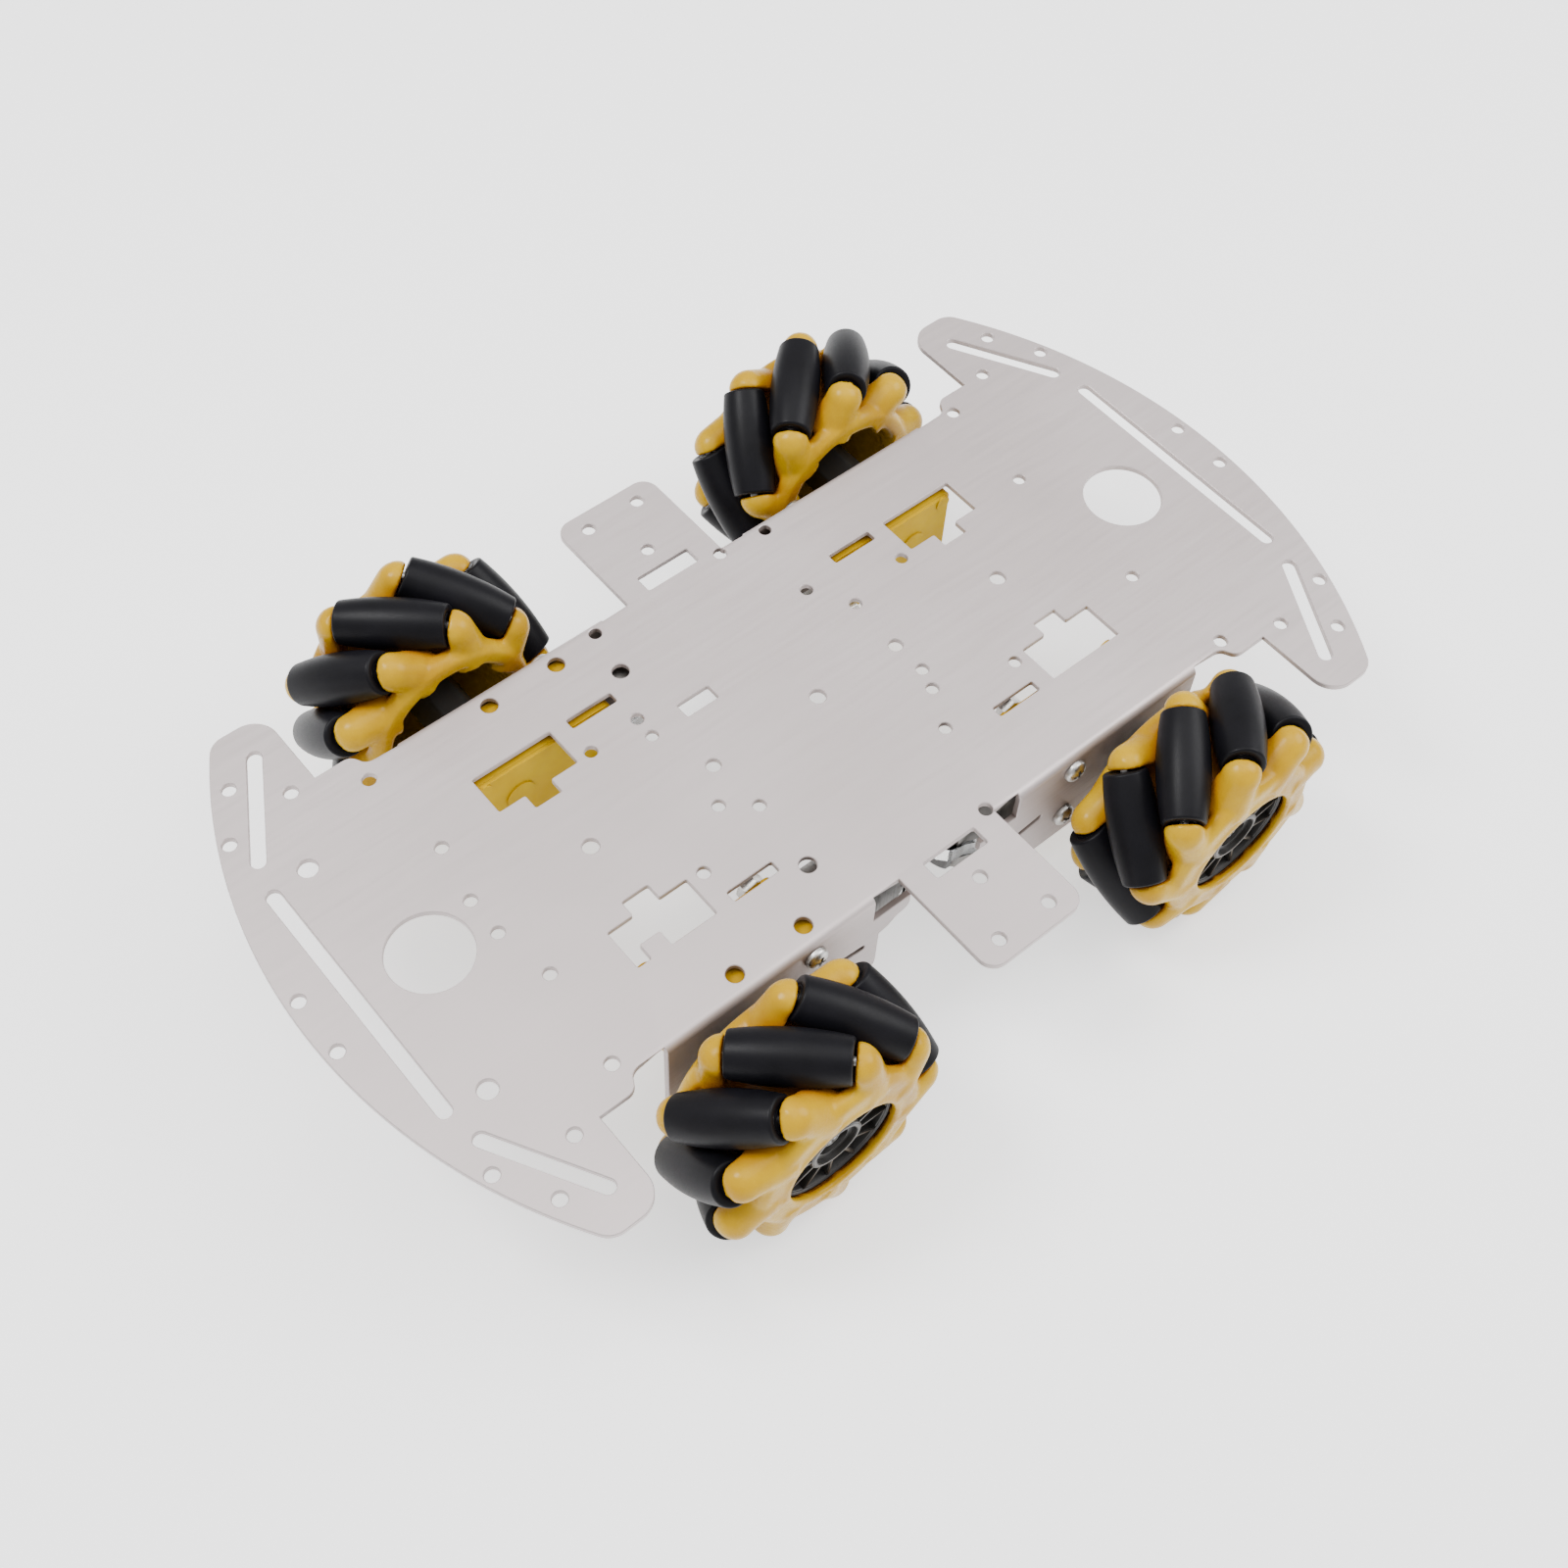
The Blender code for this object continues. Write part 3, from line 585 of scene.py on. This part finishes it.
def folded(x, y, depth):
    """Where a point of the flat sheet goes when the flanges are folded down.

    depth is how far the point lies below the sheet's top face.
    """
    away = abs(y)
    side_x = 1 if x > 0 else -1
    side_y = 1 if y > 0 else -1
    if away <= BEND_START or not TAB_HALF + 0.1 < abs(x) < FLANGE_X[1] + 0.3:
        return Vector((x, y, DECK_TOP - depth))
    along = away - BEND_START
    turn = min(along, BEND_LENGTH) / BEND_R
    out = BEND_START + (BEND_R - depth) * sin(turn)
    down = BEND_R - (BEND_R - depth) * cos(turn)
    if along > BEND_LENGTH:
        fall = along - BEND_LENGTH
        if abs(x) < TONGUE_ROOT_X and fall + BEND_R < TONGUE_DEPTHS[1] + 0.3:
            stretch = (TONGUE_ROOT_X - TONGUE_END_X) / (TONGUE_ROOT_X - TONGUE_X)
            x = side_x * (TONGUE_ROOT_X - (TONGUE_ROOT_X - abs(x)) * stretch)
        down += fall
    return Vector((x, side_y * out, DECK_TOP - down))


def fold_lines():
    return [side * (BEND_START + BEND_LENGTH * step / BEND_STEPS)
            for side in (1, -1) for step in range(BEND_STEPS + 1)]


def split_at_folds(outline):
    """Add a point wherever the outline crosses a fold line."""
    points = []
    for (x0, y0), (x1, y1) in zip(outline, outline[1:] + outline[:1]):
        points.append((x0, y0))
        crossings = [(line - y0) / (y1 - y0) for line in fold_lines() if (line - y0) * (line - y1) < -1e-9]
        points += [(x0 + (x1 - x0) * t, y0 + (y1 - y0) * t) for t in sorted(crossings)]
    return points


def shrunk(outline, distance, solid_inside):
    """The outline moved towards the material, so that the rim gets a small chamfer."""
    area = sum(a[0] * b[1] - b[0] * a[1] for a, b in zip(outline, outline[1:] + outline[:1]))
    side = 1 if (area > 0) == solid_inside else -1
    moved = []
    for i, (x, y) in enumerate(outline):
        before = Vector((x, y)) - Vector(outline[i - 1])
        after = Vector(outline[(i + 1) % len(outline)]) - Vector((x, y))
        along = (before.normalized() + after.normalized()).normalized()
        corner = max(0.5, along.dot(after.normalized()))
        on_fold = any(abs(y - line) < 1e-6 for line in fold_lines())
        push = Vector((-along.y, along.x)) * side * distance / corner
        moved.append((x + push.x, y if on_fold and abs(push.y) < abs(push.x) else y + push.y))
    return moved


def fill_face(bm, outlines, depth):
    """One flat face of the sheet, filled around its holes and cut along the fold lines."""
    sheet = bmesh.new()
    for outline in outlines:
        verts = [sheet.verts.new((x, y, 0)) for x, y in outline]
        for start, end in zip(verts, verts[1:] + verts[:1]):
            sheet.edges.new((start, end))
    bmesh.ops.triangle_fill(sheet, use_beauty=True, edges=sheet.edges, normal=(0, 0, 1))
    for line in fold_lines():
        parts = sheet.verts[:] + sheet.edges[:] + sheet.faces[:]
        bmesh.ops.bisect_plane(sheet, geom=parts, plane_co=(0, line, 0), plane_no=(0, 1, 0), dist=1e-4)
    made = {vert: bm.verts.new((vert.co.x, vert.co.y, -depth)) for vert in sheet.verts}
    for face in sheet.faces:
        corners = [made[vert] for vert in face.verts]
        bm.faces.new(corners if (face.normal.z > 0) == (depth == 0) else corners[::-1])
    sheet.free()


def make_plate(material):
    """The folded plate: two filled faces, and rims with a small chamfer round every edge."""
    bm = bmesh.new()
    outlines = [split_at_folds(outline) for outline in [plate_outline()] + plate_holes()]
    inner = [shrunk(outline, EDGE, i == 0) for i, outline in enumerate(outlines)]
    fill_face(bm, inner, 0)
    fill_face(bm, inner, SHEET)
    for wide, narrow in zip(outlines, inner):
        levels = ((narrow, 0), (wide, EDGE), (wide, SHEET - EDGE), (narrow, SHEET))
        rows = [[bm.verts.new((x, y, -depth)) for x, y in outline] for outline, depth in levels]
        for high, low in zip(rows, rows[1:]):
            for i in range(len(high)):
                j = (i + 1) % len(high)
                bm.faces.new((high[i], low[i], low[j], high[j]))
    bmesh.ops.remove_doubles(bm, verts=bm.verts, dist=1e-4)
    for vert in bm.verts:
        vert.co = folded(vert.co.x, vert.co.y, -vert.co.z)
    bmesh.ops.recalc_face_normals(bm, faces=bm.faces)
    mesh = new_mesh("chassis_plate_fine", bm, [material], 25)
    new_piece("folded_plate", mesh, "chassis", replaced=("chassis_plate",))


# ---------------------------------------------------------------- wheels

WHEEL_Y = 66.45
HUB_HALF = 14.65
HUB_LIP_R = 13.5
HUB_LIP = 2.0
DRUM_R = (15.5, 17.4)
RING_R = 21.0
RING_WIDTH = 4.0
LOBE_REACH = 28.7
LOBE_TIP = 3.0
LOBE_ROOT = -11.0
LOBE_R = 4.35
LOBE_THICK = 5.2
LOBE_START = 12.6
ROLLERS = 9
TILT = radians(45)
ROLLER_ORBIT = 23.9
ROLLER_HALF = 12.3
ROLLER_MID_R = 5.85
ROLLER_END_R = 4.75
HUB_VOXEL = 0.00045


def wheel_frame(corner, side_x, side_y):
    """The wheel's frame: Z points outward along the axle, X to the first roller."""
    axle = Vector(JOINTS["wheel_" + corner]["pos_m"])
    first = Vector(JOINTS["roller_%s_1" % corner]["pos_m"])
    outward = Vector((0, side_y, 0))
    towards = (first - axle).normalized()
    turn = Matrix((towards, outward.cross(towards), outward)).transposed().to_4x4()
    return Matrix.Translation(axle) @ turn


def roller_frame(angle, hand):
    """The roller's frame in the wheel's frame: X points outward and Z runs along the roller."""
    outward = Vector((cos(angle), sin(angle), 0))
    around = Vector((-sin(angle), cos(angle), 0))
    along = around * (hand * sin(TILT)) + Vector((0, 0, cos(TILT)))
    turn = Matrix((outward, along.cross(outward), along)).transposed().to_4x4()
    turn.translation = outward * ROLLER_ORBIT
    return turn


def roller_radius(reach):
    """The barrel's radius at this distance from its middle."""
    return ROLLER_MID_R - (ROLLER_MID_R - ROLLER_END_R) * (reach / ROLLER_HALF) ** 2


def make_roller_mesh(materials):
    """A barrel with rounded rims, dished ends and a core round its bore."""
    bands = 18
    rim = 0.6
    straight = ROLLER_HALF - rim
    places = [straight * (2 * band / bands - 1) for band in range(bands + 1)]
    barrel = [(roller_radius(place), place) for place in places]
    end_r = barrel[-1][0]
    top = arc(end_r - rim, straight, rim, 0, 90, 5)[1:]
    core = [(end_r - 1.4, ROLLER_HALF), (2.7, ROLLER_HALF - 0.4), (2.6, ROLLER_HALF - 0.1),
            (1.5, ROLLER_HALF - 0.1), (1.3, ROLLER_HALF - 0.3)]
    half = top + core
    profile = [(r, -z) for r, z in reversed(half)] + barrel + half
    bm = bmesh.new()
    add_ring(bm, profile, 48)
    return new_mesh("roller_barrel", bm, [materials["rubber"]], 50)


def add_thumb(bm, place, side):
    """A lobe: a half-round thumb lying flat against the end of its roller, wider at its root."""
    rows = []
    steps = 18
    for step in range(steps + 1):
        t = step / steps
        x = LOBE_TIP + (LOBE_ROOT - LOBE_TIP) * t
        close = sqrt(max(0.0, 1 - max(0.0, 1 - (LOBE_TIP - x) / LOBE_R) ** 2))
        flare = 1 + 0.3 * max(0.0, t - 0.4) / 0.6
        width = LOBE_R * close * flare + 0.02
        thick = LOBE_THICK * (0.8 + 0.35 * t) * close + 0.02
        turns = [pi * i / 14 for i in range(15)]
        row = [(x, width * cos(turn), thick * sin(turn)) for turn in turns]
        row += [(x, -width * 0.98, -0.4 * close), (x, width * 0.98, -0.4 * close)]
        rows.append([(px, py, side * (LOBE_START + 0.4 + pz)) for px, py, pz in row])
    rows = rows if side < 0 else rows[::-1]
    move(bm, add_loft(bm, rows), place)


def hub_profile():
    """The hub without its lobes: two rings joined by a drum, with a lip at the outer face."""
    inner, outer = DRUM_R
    shoulder = HUB_HALF - RING_WIDTH
    return [
        (inner + 1.4, -HUB_HALF), (RING_R - 1.2, -HUB_HALF), (RING_R, -HUB_HALF + 1.6), (RING_R, -shoulder),
        (outer, -shoulder + 1.4), (outer, shoulder - 1.4), (RING_R, shoulder), (RING_R, HUB_HALF - 1.8),
        (RING_R - 1.4, HUB_HALF - 0.5), (HUB_LIP_R + 2.0, HUB_HALF - 0.5), (HUB_LIP_R + 1.2, HUB_HALF),
        (HUB_LIP_R, HUB_HALF), (HUB_LIP_R, HUB_HALF - HUB_LIP),
        (inner, HUB_HALF - HUB_LIP), (inner, -HUB_HALF + 2)]


def make_hub_mesh(hand, material):
    """Rings, drum and thumbs melted into one moulded body."""
    bm = bmesh.new()
    add_ring(bm, hub_profile(), 120)
    for index in range(ROLLERS):
        place = roller_frame(2 * pi * index / ROLLERS, hand)
        for side in (1, -1):
            add_thumb(bm, place, side)
    rough = new_mesh("hub_rough", bm, [])
    mesh = evaluated_mesh(rough, (
        ("REMESH", {"mode": "VOXEL", "voxel_size": HUB_VOXEL, "use_smooth_shade": True}),
        ("SMOOTH", {"factor": 0.5, "iterations": 12})))
    limit = HUB_HALF * MM
    for vert in mesh.vertices:
        vert.co.z = max(-limit, min(limit, vert.co.z))
        reach = sqrt(vert.co.x ** 2 + vert.co.y ** 2)
        if reach > LOBE_REACH * MM:
            vert.co.x *= LOBE_REACH * MM / reach
            vert.co.y *= LOBE_REACH * MM / reach
    mesh.shade_smooth()
    mesh.materials.clear()
    mesh.materials.append(material)
    return mesh


def make_pins_mesh(hand, material):
    bm = bmesh.new()
    for index in range(ROLLERS):
        pin = add_turned(bm, [(0.7, -14.6), (1.0, -14.3), (1.0, 14.3), (0.7, 14.6)], 16)
        move(bm, pin, roller_frame(2 * pi * index / ROLLERS, hand))
    return new_mesh("roller_pins", bm, [material])


def make_coupling_mesh(materials):
    """The black insert: a webbed disc behind the lip, a hexagon boss with the shaft's bore, and a socket for
    the clamp screw.
    """
    bm = bmesh.new()
    disc = [(5.2, 9.3), (15.1, 9.3), (15.1, 12.1), (14.8, 12.3), (13.6, 12.3), (13.2, 11.9), (13.0, 10.4),
            (6.9, 10.4), (6.6, 11.9), (6.2, 12.3), (5.2, 12.3)]
    add_ring(bm, disc, 72)
    for index in range(12):
        rib = add_box(bm, (6.0, 13.6), (-0.45, 0.45), (9.6, 12.0))
        move(bm, rib, Matrix.Rotation(2 * pi * index / 12 + 0.13, 4, "Z"))
    add_prism(bm, rounded(circle(0, 0, 6.5, 6), 0.5), -18.0, 11.2)
    soften(bm, 0.18, 2)
    solid = new_mesh("coupling_solid", bm, [materials["black"]])
    bore = bmesh.new()
    add_prism(bore, double_d(3.0, 2.15), -19.0, -11.0)
    socket = bmesh.new()
    add_prism(socket, circle(0, 0, 3.6, 32), 9.4, 13.0)
    return carved(solid, new_mesh("bore", bore, []), new_mesh("socket", socket, []))


def add_cross_head(bm, radius, height):
    """A domed screw head standing on z = 0."""
    dome = [(radius * cos(turn), height * (0.35 + 0.65 * sin(turn))) for turn in
            (radians(15 * step) for step in range(6))]
    return add_turned(bm, [(radius * 0.96, 0), (radius, 0.12)] + dome, 40)


def make_screw_mesh(name, radius, height, shank_r, shank, material):
    """A cross-head screw: its head stands on z = 0 and its shank goes down."""
    bm = bmesh.new()
    add_cross_head(bm, radius, height)
    head = new_mesh(name + "_head", bm, [material])
    cutters = []
    for turn in (0.0, pi / 2):
        cut = bmesh.new()
        long, thin = radius * 0.55, radius * 0.13
        bar = add_box(cut, (-long, long), (-thin, thin), (height * 0.4, height * 2))
        move(cut, bar, Matrix.Rotation(turn, 4, "Z"))
        cutters.append(new_mesh("cross", cut, []))
    carved_head = carved(head, *cutters)
    bm = bmesh.new()
    bm.from_mesh(carved_head)
    bmesh.ops.scale(bm, vec=(1 / MM,) * 3, verts=bm.verts)
    if shank:
        add_thread(bm, shank_r, -shank, -0.05)
    return new_mesh(name, bm, [material])


def add_thread(bm, radius, z0, z1, pitch=0.5):
    """A threaded rod as a stack of V-shaped rings."""
    count = max(1, int((z1 - z0) / pitch))
    step = (z1 - z0) / count
    profile = [(radius * 0.8, z0)]
    for turn in range(count):
        base = z0 + turn * step
        profile += [(radius, base + step * 0.5), (radius * 0.86, base + step * 0.98)]
    return add_turned(bm, profile, 20)


def make_wheel(corner, side_x, side_y, hubs, pins, coupling, screw, roller, materials):
    body = "wheel_" + corner
    place = wheel_frame(corner, side_x, side_y)
    new_piece("hub_" + corner, hubs[side_x], body, place, ("wheel_hub_" + corner,))
    new_piece("pins_" + corner, pins[side_x], body, place)
    new_piece("coupling_" + corner, coupling, body, place, ("wheel_coupling_" + corner,))
    seat = place @ Matrix.Translation((0, 0, 9.45 * MM))
    new_piece("axle_screw_" + corner, screw, body, seat)
    for index in range(ROLLERS):
        name = "roller_%s_%d" % (corner, index + 1)
        local = roller_frame(2 * pi * index / ROLLERS, side_x)
        local.translation *= MM
        new_piece("barrel_%s_%d" % (corner, index + 1), roller, name, place @ local, (name,))


def make_wheels(materials):
    hubs = {hand: make_hub_mesh(hand, materials["hub"]) for hand in (1, -1)}
    pins = {hand: make_pins_mesh(hand, materials["zinc"]) for hand in (1, -1)}
    coupling = make_coupling_mesh(materials)
    screw = make_screw_mesh("axle_screw", 2.6, 1.6, 1.2, 0, materials["zinc"])
    roller = make_roller_mesh(materials)
    for corner, side_x, side_y in CORNERS:
        make_wheel(corner, side_x, side_y, hubs, pins, coupling, screw, roller, materials)


# ---------------------------------------------------------------- geared motors

GEARBOX_Y = 35.8
GEARBOX_X = (-25.7, 11.3)
GEARBOX_OUTER = 9.4
GEARBOX_INNER = 8.3
GEARBOX_HALF_Z = 11.15
SHAFT_BORE_R = 3.0
CAN_X = (6.8, 31.5)
CAN_R = 10.05
CAN_HALF_Y = 7.55
CAP_X = (4.8, 6.5)
STRAP_END_X = 36.0
STRAP_HALF_Y = 9.55
STRAP_HALF_Z = 2.2
STRAP_THICK = 0.8
BOLT_HEAD_Y = BEND_START + BEND_R + 0.03
NUT_Y = GEARBOX_Y - GEARBOX_INNER - 0.05


def rounded_box(bm, x, y, z, width=0.5, index=0):
    part = bmesh.new()
    add_box(part, x, y, z)
    soften(part, width, 3)
    merge_into(bm, part, index)


def merge_into(bm, part, index=0):
    """Copy the part into the bmesh and free it."""
    for face in part.faces:
        face.material_index = index
    scratch = bpy.data.meshes.new("scratch")
    part.to_mesh(scratch)
    part.free()
    bm.from_mesh(scratch)
    bpy.data.meshes.remove(scratch)


def gearbox_half(side):
    """One moulded half: its outline runs in X and Z, and side is +1 for the outer half."""
    x0, x1 = GEARBOX_X
    outline = rounded(box_outline(x0, x1, -GEARBOX_HALF_Z, GEARBOX_HALF_Z), 2.2, 6)
    bm = bmesh.new()
    low, high = (0.12, GEARBOX_OUTER) if side > 0 else (-GEARBOX_INNER, -0.12)
    verts = add_prism(bm, outline, low, high)
    bmesh.ops.rotate(bm, verts=verts, matrix=Matrix.Rotation(pi / 2, 3, "X"))
    bmesh.ops.scale(bm, vec=(1, -1, 1), verts=verts)
    bmesh.ops.reverse_faces(bm, faces=bm.faces)
    soften(bm, 0.6, 3)
    return bm


def cylinder_y(bm, x, z, radius, y0, y1, steps=32, index=0):
    verts = add_prism(bm, circle(0, 0, radius, steps), -y1, -y0, index)
    move(bm, verts, Matrix.Translation((x, 0, z)) @ Matrix.Rotation(pi / 2, 4, "X"))


def make_gearbox_mesh(side_x, side_y, material):
    """Two halves with a seam, the ear, the shaft boss, corner pads and a low disc opposite the shaft."""
    bm = bmesh.new()
    merge_into(bm, gearbox_half(1))
    merge_into(bm, gearbox_half(-1))
    x0, x1 = GEARBOX_X
    rounded_box(bm, (x0 + 0.5, x1 - 0.5), (-0.3, 0.3), (-GEARBOX_HALF_Z + 0.25, GEARBOX_HALF_Z - 0.25), 0.1)
    rounded_box(bm, (x1 - 1, x1 + 5.0), (-1.3, 1.3), (-3.0, 3.0), 0.5)
    cylinder_y(bm, 0, 0, 3.6, GEARBOX_OUTER - 2, GEARBOX_OUTER + 1.2, 40)
    for z in (-GEARBOX_HALF_Z + 2.4, GEARBOX_HALF_Z - 2.4):
        for x in (x0 + 2.6, x1 - 2.6):
            cylinder_y(bm, x, z, 1.9, -GEARBOX_INNER - 0.35, -GEARBOX_INNER + 1, 28)
    cylinder_y(bm, 0, 0, 3.6, -GEARBOX_INNER - 0.4, -GEARBOX_INNER + 1, 40)
    solid = new_mesh("gearbox_solid", mirrored(bm, side_x, side_y), [material])
    cutters = []
    for x, z, radius, y0, y1 in (
            (0, 0, SHAFT_BORE_R, GEARBOX_OUTER - 6, GEARBOX_OUTER + 3),
            (-BOLT_INBOARD, BOLT_PITCH / 2, 1.65, -12, 12),
            (-BOLT_INBOARD, -BOLT_PITCH / 2, 1.65, -12, 12),
            (x1 + 2.6, 0, 1.4, -3, 3)):
        cut = bmesh.new()
        cylinder_y(cut, x, z, radius, y0, y1)
        cutters.append(new_mesh("cut", mirrored(cut, side_x, side_y), []))
    return carved(solid, *cutters)


def flattened_disc(radius, half_y):
    return double_d(radius, half_y, 20)


def add_along_x(bm, sections, index=0):
    """A solid whose cross-sections, (outline of (y, z), x), follow each other along X."""
    rings = [[(x, y, z) for y, z in outline] for outline, x in sections]
    return add_loft(bm, rings, index=index)


def make_can_mesh(side_x, side_y, materials):
    """The drawn steel can with a rounded back end and two vents."""
    bm = bmesh.new()
    x0, x1 = CAN_X
    sections = [
        (flattened_disc(CAN_R - 0.9, CAN_HALF_Y - 0.5), x0),
        (flattened_disc(CAN_R - 0.25, CAN_HALF_Y - 0.1), x0 + 0.3),
        (flattened_disc(CAN_R, CAN_HALF_Y), x0 + 1.0),
        (flattened_disc(CAN_R, CAN_HALF_Y), x1)]
    add_along_x(bm, sections)
    solid = new_mesh("can_solid", mirrored(bm, side_x, side_y), [materials["can"]])
    cutters = []
    for side in (1, -1):
        cut = bmesh.new()
        low, high = sorted((side * (CAN_R - 1.2), side * (CAN_R + 1)))
        add_box(cut, (x0 + 3.2, x0 + 7.6), (-2.6, 2.6), (low, high))
        soften(cut, 0.5, 3)
        cutters.append(new_mesh("vent", mirrored(cut, side_x, side_y), []))
    return carved(solid, *cutters)


def make_cap_mesh(side_x, side_y, materials):
    """The brush cap: a black plastic disc, a brass bush and two solder tabs."""
    bm = bmesh.new()
    x0, x1 = CAP_X
    add_along_x(bm, [
        (flattened_disc(8.6, 6.5), x0),
        (flattened_disc(9.1, 6.85), x0 + 0.35),
        (flattened_disc(9.2, 6.9), x1)])
    bush = add_turned(bm, [(2.6, 0), (2.6, 1.2), (2.2, 1.6), (1.1, 1.6)], 32, 1)
    move(bm, bush, Matrix.Translation((x0 + 0.2, 0, 0)) @ Matrix.Rotation(-pi / 2, 4, "Y"))
    for side in (1, -1):
        tab = bmesh.new()
        add_box(tab, (x0 - 3.0, x0 + 0.4), (-0.2, 0.2), (side * 6.2 - 1.1, side * 6.2 + 1.1))
        soften(tab, 0.12, 2)
        merge_into(bm, tab, 1)
    return new_mesh("brush_cap", mirrored(bm, side_x, side_y), [materials["black"], materials["brass"]])


def make_strap_mesh(side_x, side_y, materials):
    """The clear strap round the back of the motor, hooked on the gearbox's sides."""
    y = STRAP_HALF_Y
    bm = bmesh.new()
    path = [(STRAP_END_X, y), (12.0, y), (8.2, CAN_HALF_Y + 0.5), (5.4, CAN_HALF_Y + 0.2), (4.0, 5.2)]
    outer = path + [(px, -py) for px, py in reversed(path)]
    inner = []
    for i, (px, py) in enumerate(outer):
        before = Vector(outer[max(0, i - 1)])
        after = Vector(outer[min(len(outer) - 1, i + 1)])
        along = (after - before).normalized()
        inner.append((px + along.y * STRAP_THICK, py + along.x * STRAP_THICK))
    outline = outer + inner[::-1]
    add_prism(bm, outline, -STRAP_HALF_Z, STRAP_HALF_Z)
    bmesh.ops.recalc_face_normals(bm, faces=bm.faces)
    return new_mesh("strap", mirrored(bm, side_x, side_y), [materials["clear"]])


def make_shaft_mesh(materials):
    """The white double-D shaft."""
    bm = bmesh.new()
    add_prism(bm, double_d(2.7, 1.85), 39.6 - WHEEL_Y, 54.2 - WHEEL_Y)
    soften(bm, 0.2, 2)
    return new_mesh("output_shaft", bm, [materials["white"]])


def make_nut_mesh(material):
    """A hexagon nut on z = 0, with chamfered corners."""
    bm = bmesh.new()
    corner_r = 3.17
    chamfer_r = corner_r * 0.93
    levels = ((chamfer_r, 0), (corner_r, 0.3), (corner_r, 2.1), (chamfer_r, 2.4))
    add_loft(bm, [[(x, y, z) for x, y in circle(0, 0, r, 6)] for r, z in levels])
    soften(bm, 0.12, 2, 20)
    return new_mesh("hexagon_nut", bm, [material])


def make_bolts(corner, side_x, side_y, nut, bolt):
    """Two bolts through the flange and the gearbox: heads outside, nuts on the gearbox's inner face."""
    for level, name in ((1, "upper"), (-1, "lower")):
        x = side_x * (AXLE_X - BOLT_INBOARD)
        z = AXLE_Z + level * BOLT_PITCH / 2
        turn = Matrix.Rotation(0.3 + level * 0.4 + side_x, 4, "Z")
        for kind, mesh, y, way in (("bolt", bolt, BOLT_HEAD_Y, -1), ("nut", nut, NUT_Y, 1)):
            place = Matrix.Translation(Vector((x, side_y * y, z)) * MM)
            facing = Matrix.Rotation(way * side_y * pi / 2, 4, "X")
            piece_name = "%s_%s_%s" % (name, kind, corner)
            new_piece(piece_name, mesh, "chassis", place @ facing @ turn)


def make_motors(materials):
    shaft = make_shaft_mesh(materials)
    nut = make_nut_mesh(materials["zinc"])
    bolt = make_screw_mesh("motor_bolt", 2.75, 2.1, 1.45, 23.5, materials["zinc"])
    for corner, side_x, side_y in CORNERS:
        centre = Matrix.Translation(Vector((0, side_y * GEARBOX_Y, AXLE_Z)) * MM)
        at_axle = Matrix.Translation(Vector((side_x * AXLE_X, side_y * GEARBOX_Y, AXLE_Z)) * MM)
        box = make_gearbox_mesh(side_x, side_y, materials["gearbox"])
        new_piece("gear_housing_" + corner, box, "chassis", at_axle, ("gearbox_" + corner,))
        can = make_can_mesh(side_x, side_y, materials)
        new_piece("can_" + corner, can, "chassis", centre, ("motor_can_" + corner,))
        cap = make_cap_mesh(side_x, side_y, materials)
        new_piece("brush_cap_" + corner, cap, "chassis", centre)
        strap = make_strap_mesh(side_x, side_y, materials)
        new_piece("motor_strap_" + corner, strap, "chassis", centre)
        place = wheel_frame(corner, side_x, side_y)
        replaced = ("output_shaft_" + corner,)
        new_piece("shaft_" + corner, shaft, "wheel_" + corner, place, replaced)
        make_bolts(corner, side_x, side_y, nut, bolt)


# ---------------------------------------------------------------- studio

def make_floor(material):
    bm = bmesh.new()
    bmesh.ops.create_grid(bm, x_segments=1, y_segments=1, size=3000)
    floor = bpy.data.objects.new("studio_floor", new_mesh("studio_floor", bm, [material]))
    bpy.context.scene.collection.objects.link(floor)
    floor.location.z = -0.0002


def add_area_light(name, place, size, power):
    data = bpy.data.lights.new(name, "AREA")
    data.shape = "DISK"
    data.size = size
    data.energy = power
    light = bpy.data.objects.new(name, data)
    bpy.context.scene.collection.objects.link(light)
    light.location = place
    light.rotation_euler = (Vector((0, 0, 0.02)) - Vector(place)).to_track_quat("-Z", "Y").to_euler()


def make_studio(materials):
    make_floor(materials["floor"])
    world = bpy.data.worlds.new("studio")
    world.use_nodes = True
    world.node_tree.nodes["Background"].inputs["Color"].default_value = (1.0, 1.0, 1.0, 1)
    world.node_tree.nodes["Background"].inputs["Strength"].default_value = 0.95
    bpy.context.scene.world = world
    add_area_light("key", (-0.55, 0.45, 1.1), 0.5, 16)
    add_area_light("fill", (0.85, -0.45, 0.9), 0.9, 16)
    add_area_light("top", (0.1, 0.0, 1.5), 1.4, 14)


def main():
    make_camera()
    materials = make_materials()
    make_plate(materials["plate"])
    make_wheels(materials)
    make_motors(materials)
    make_studio(materials)


main()
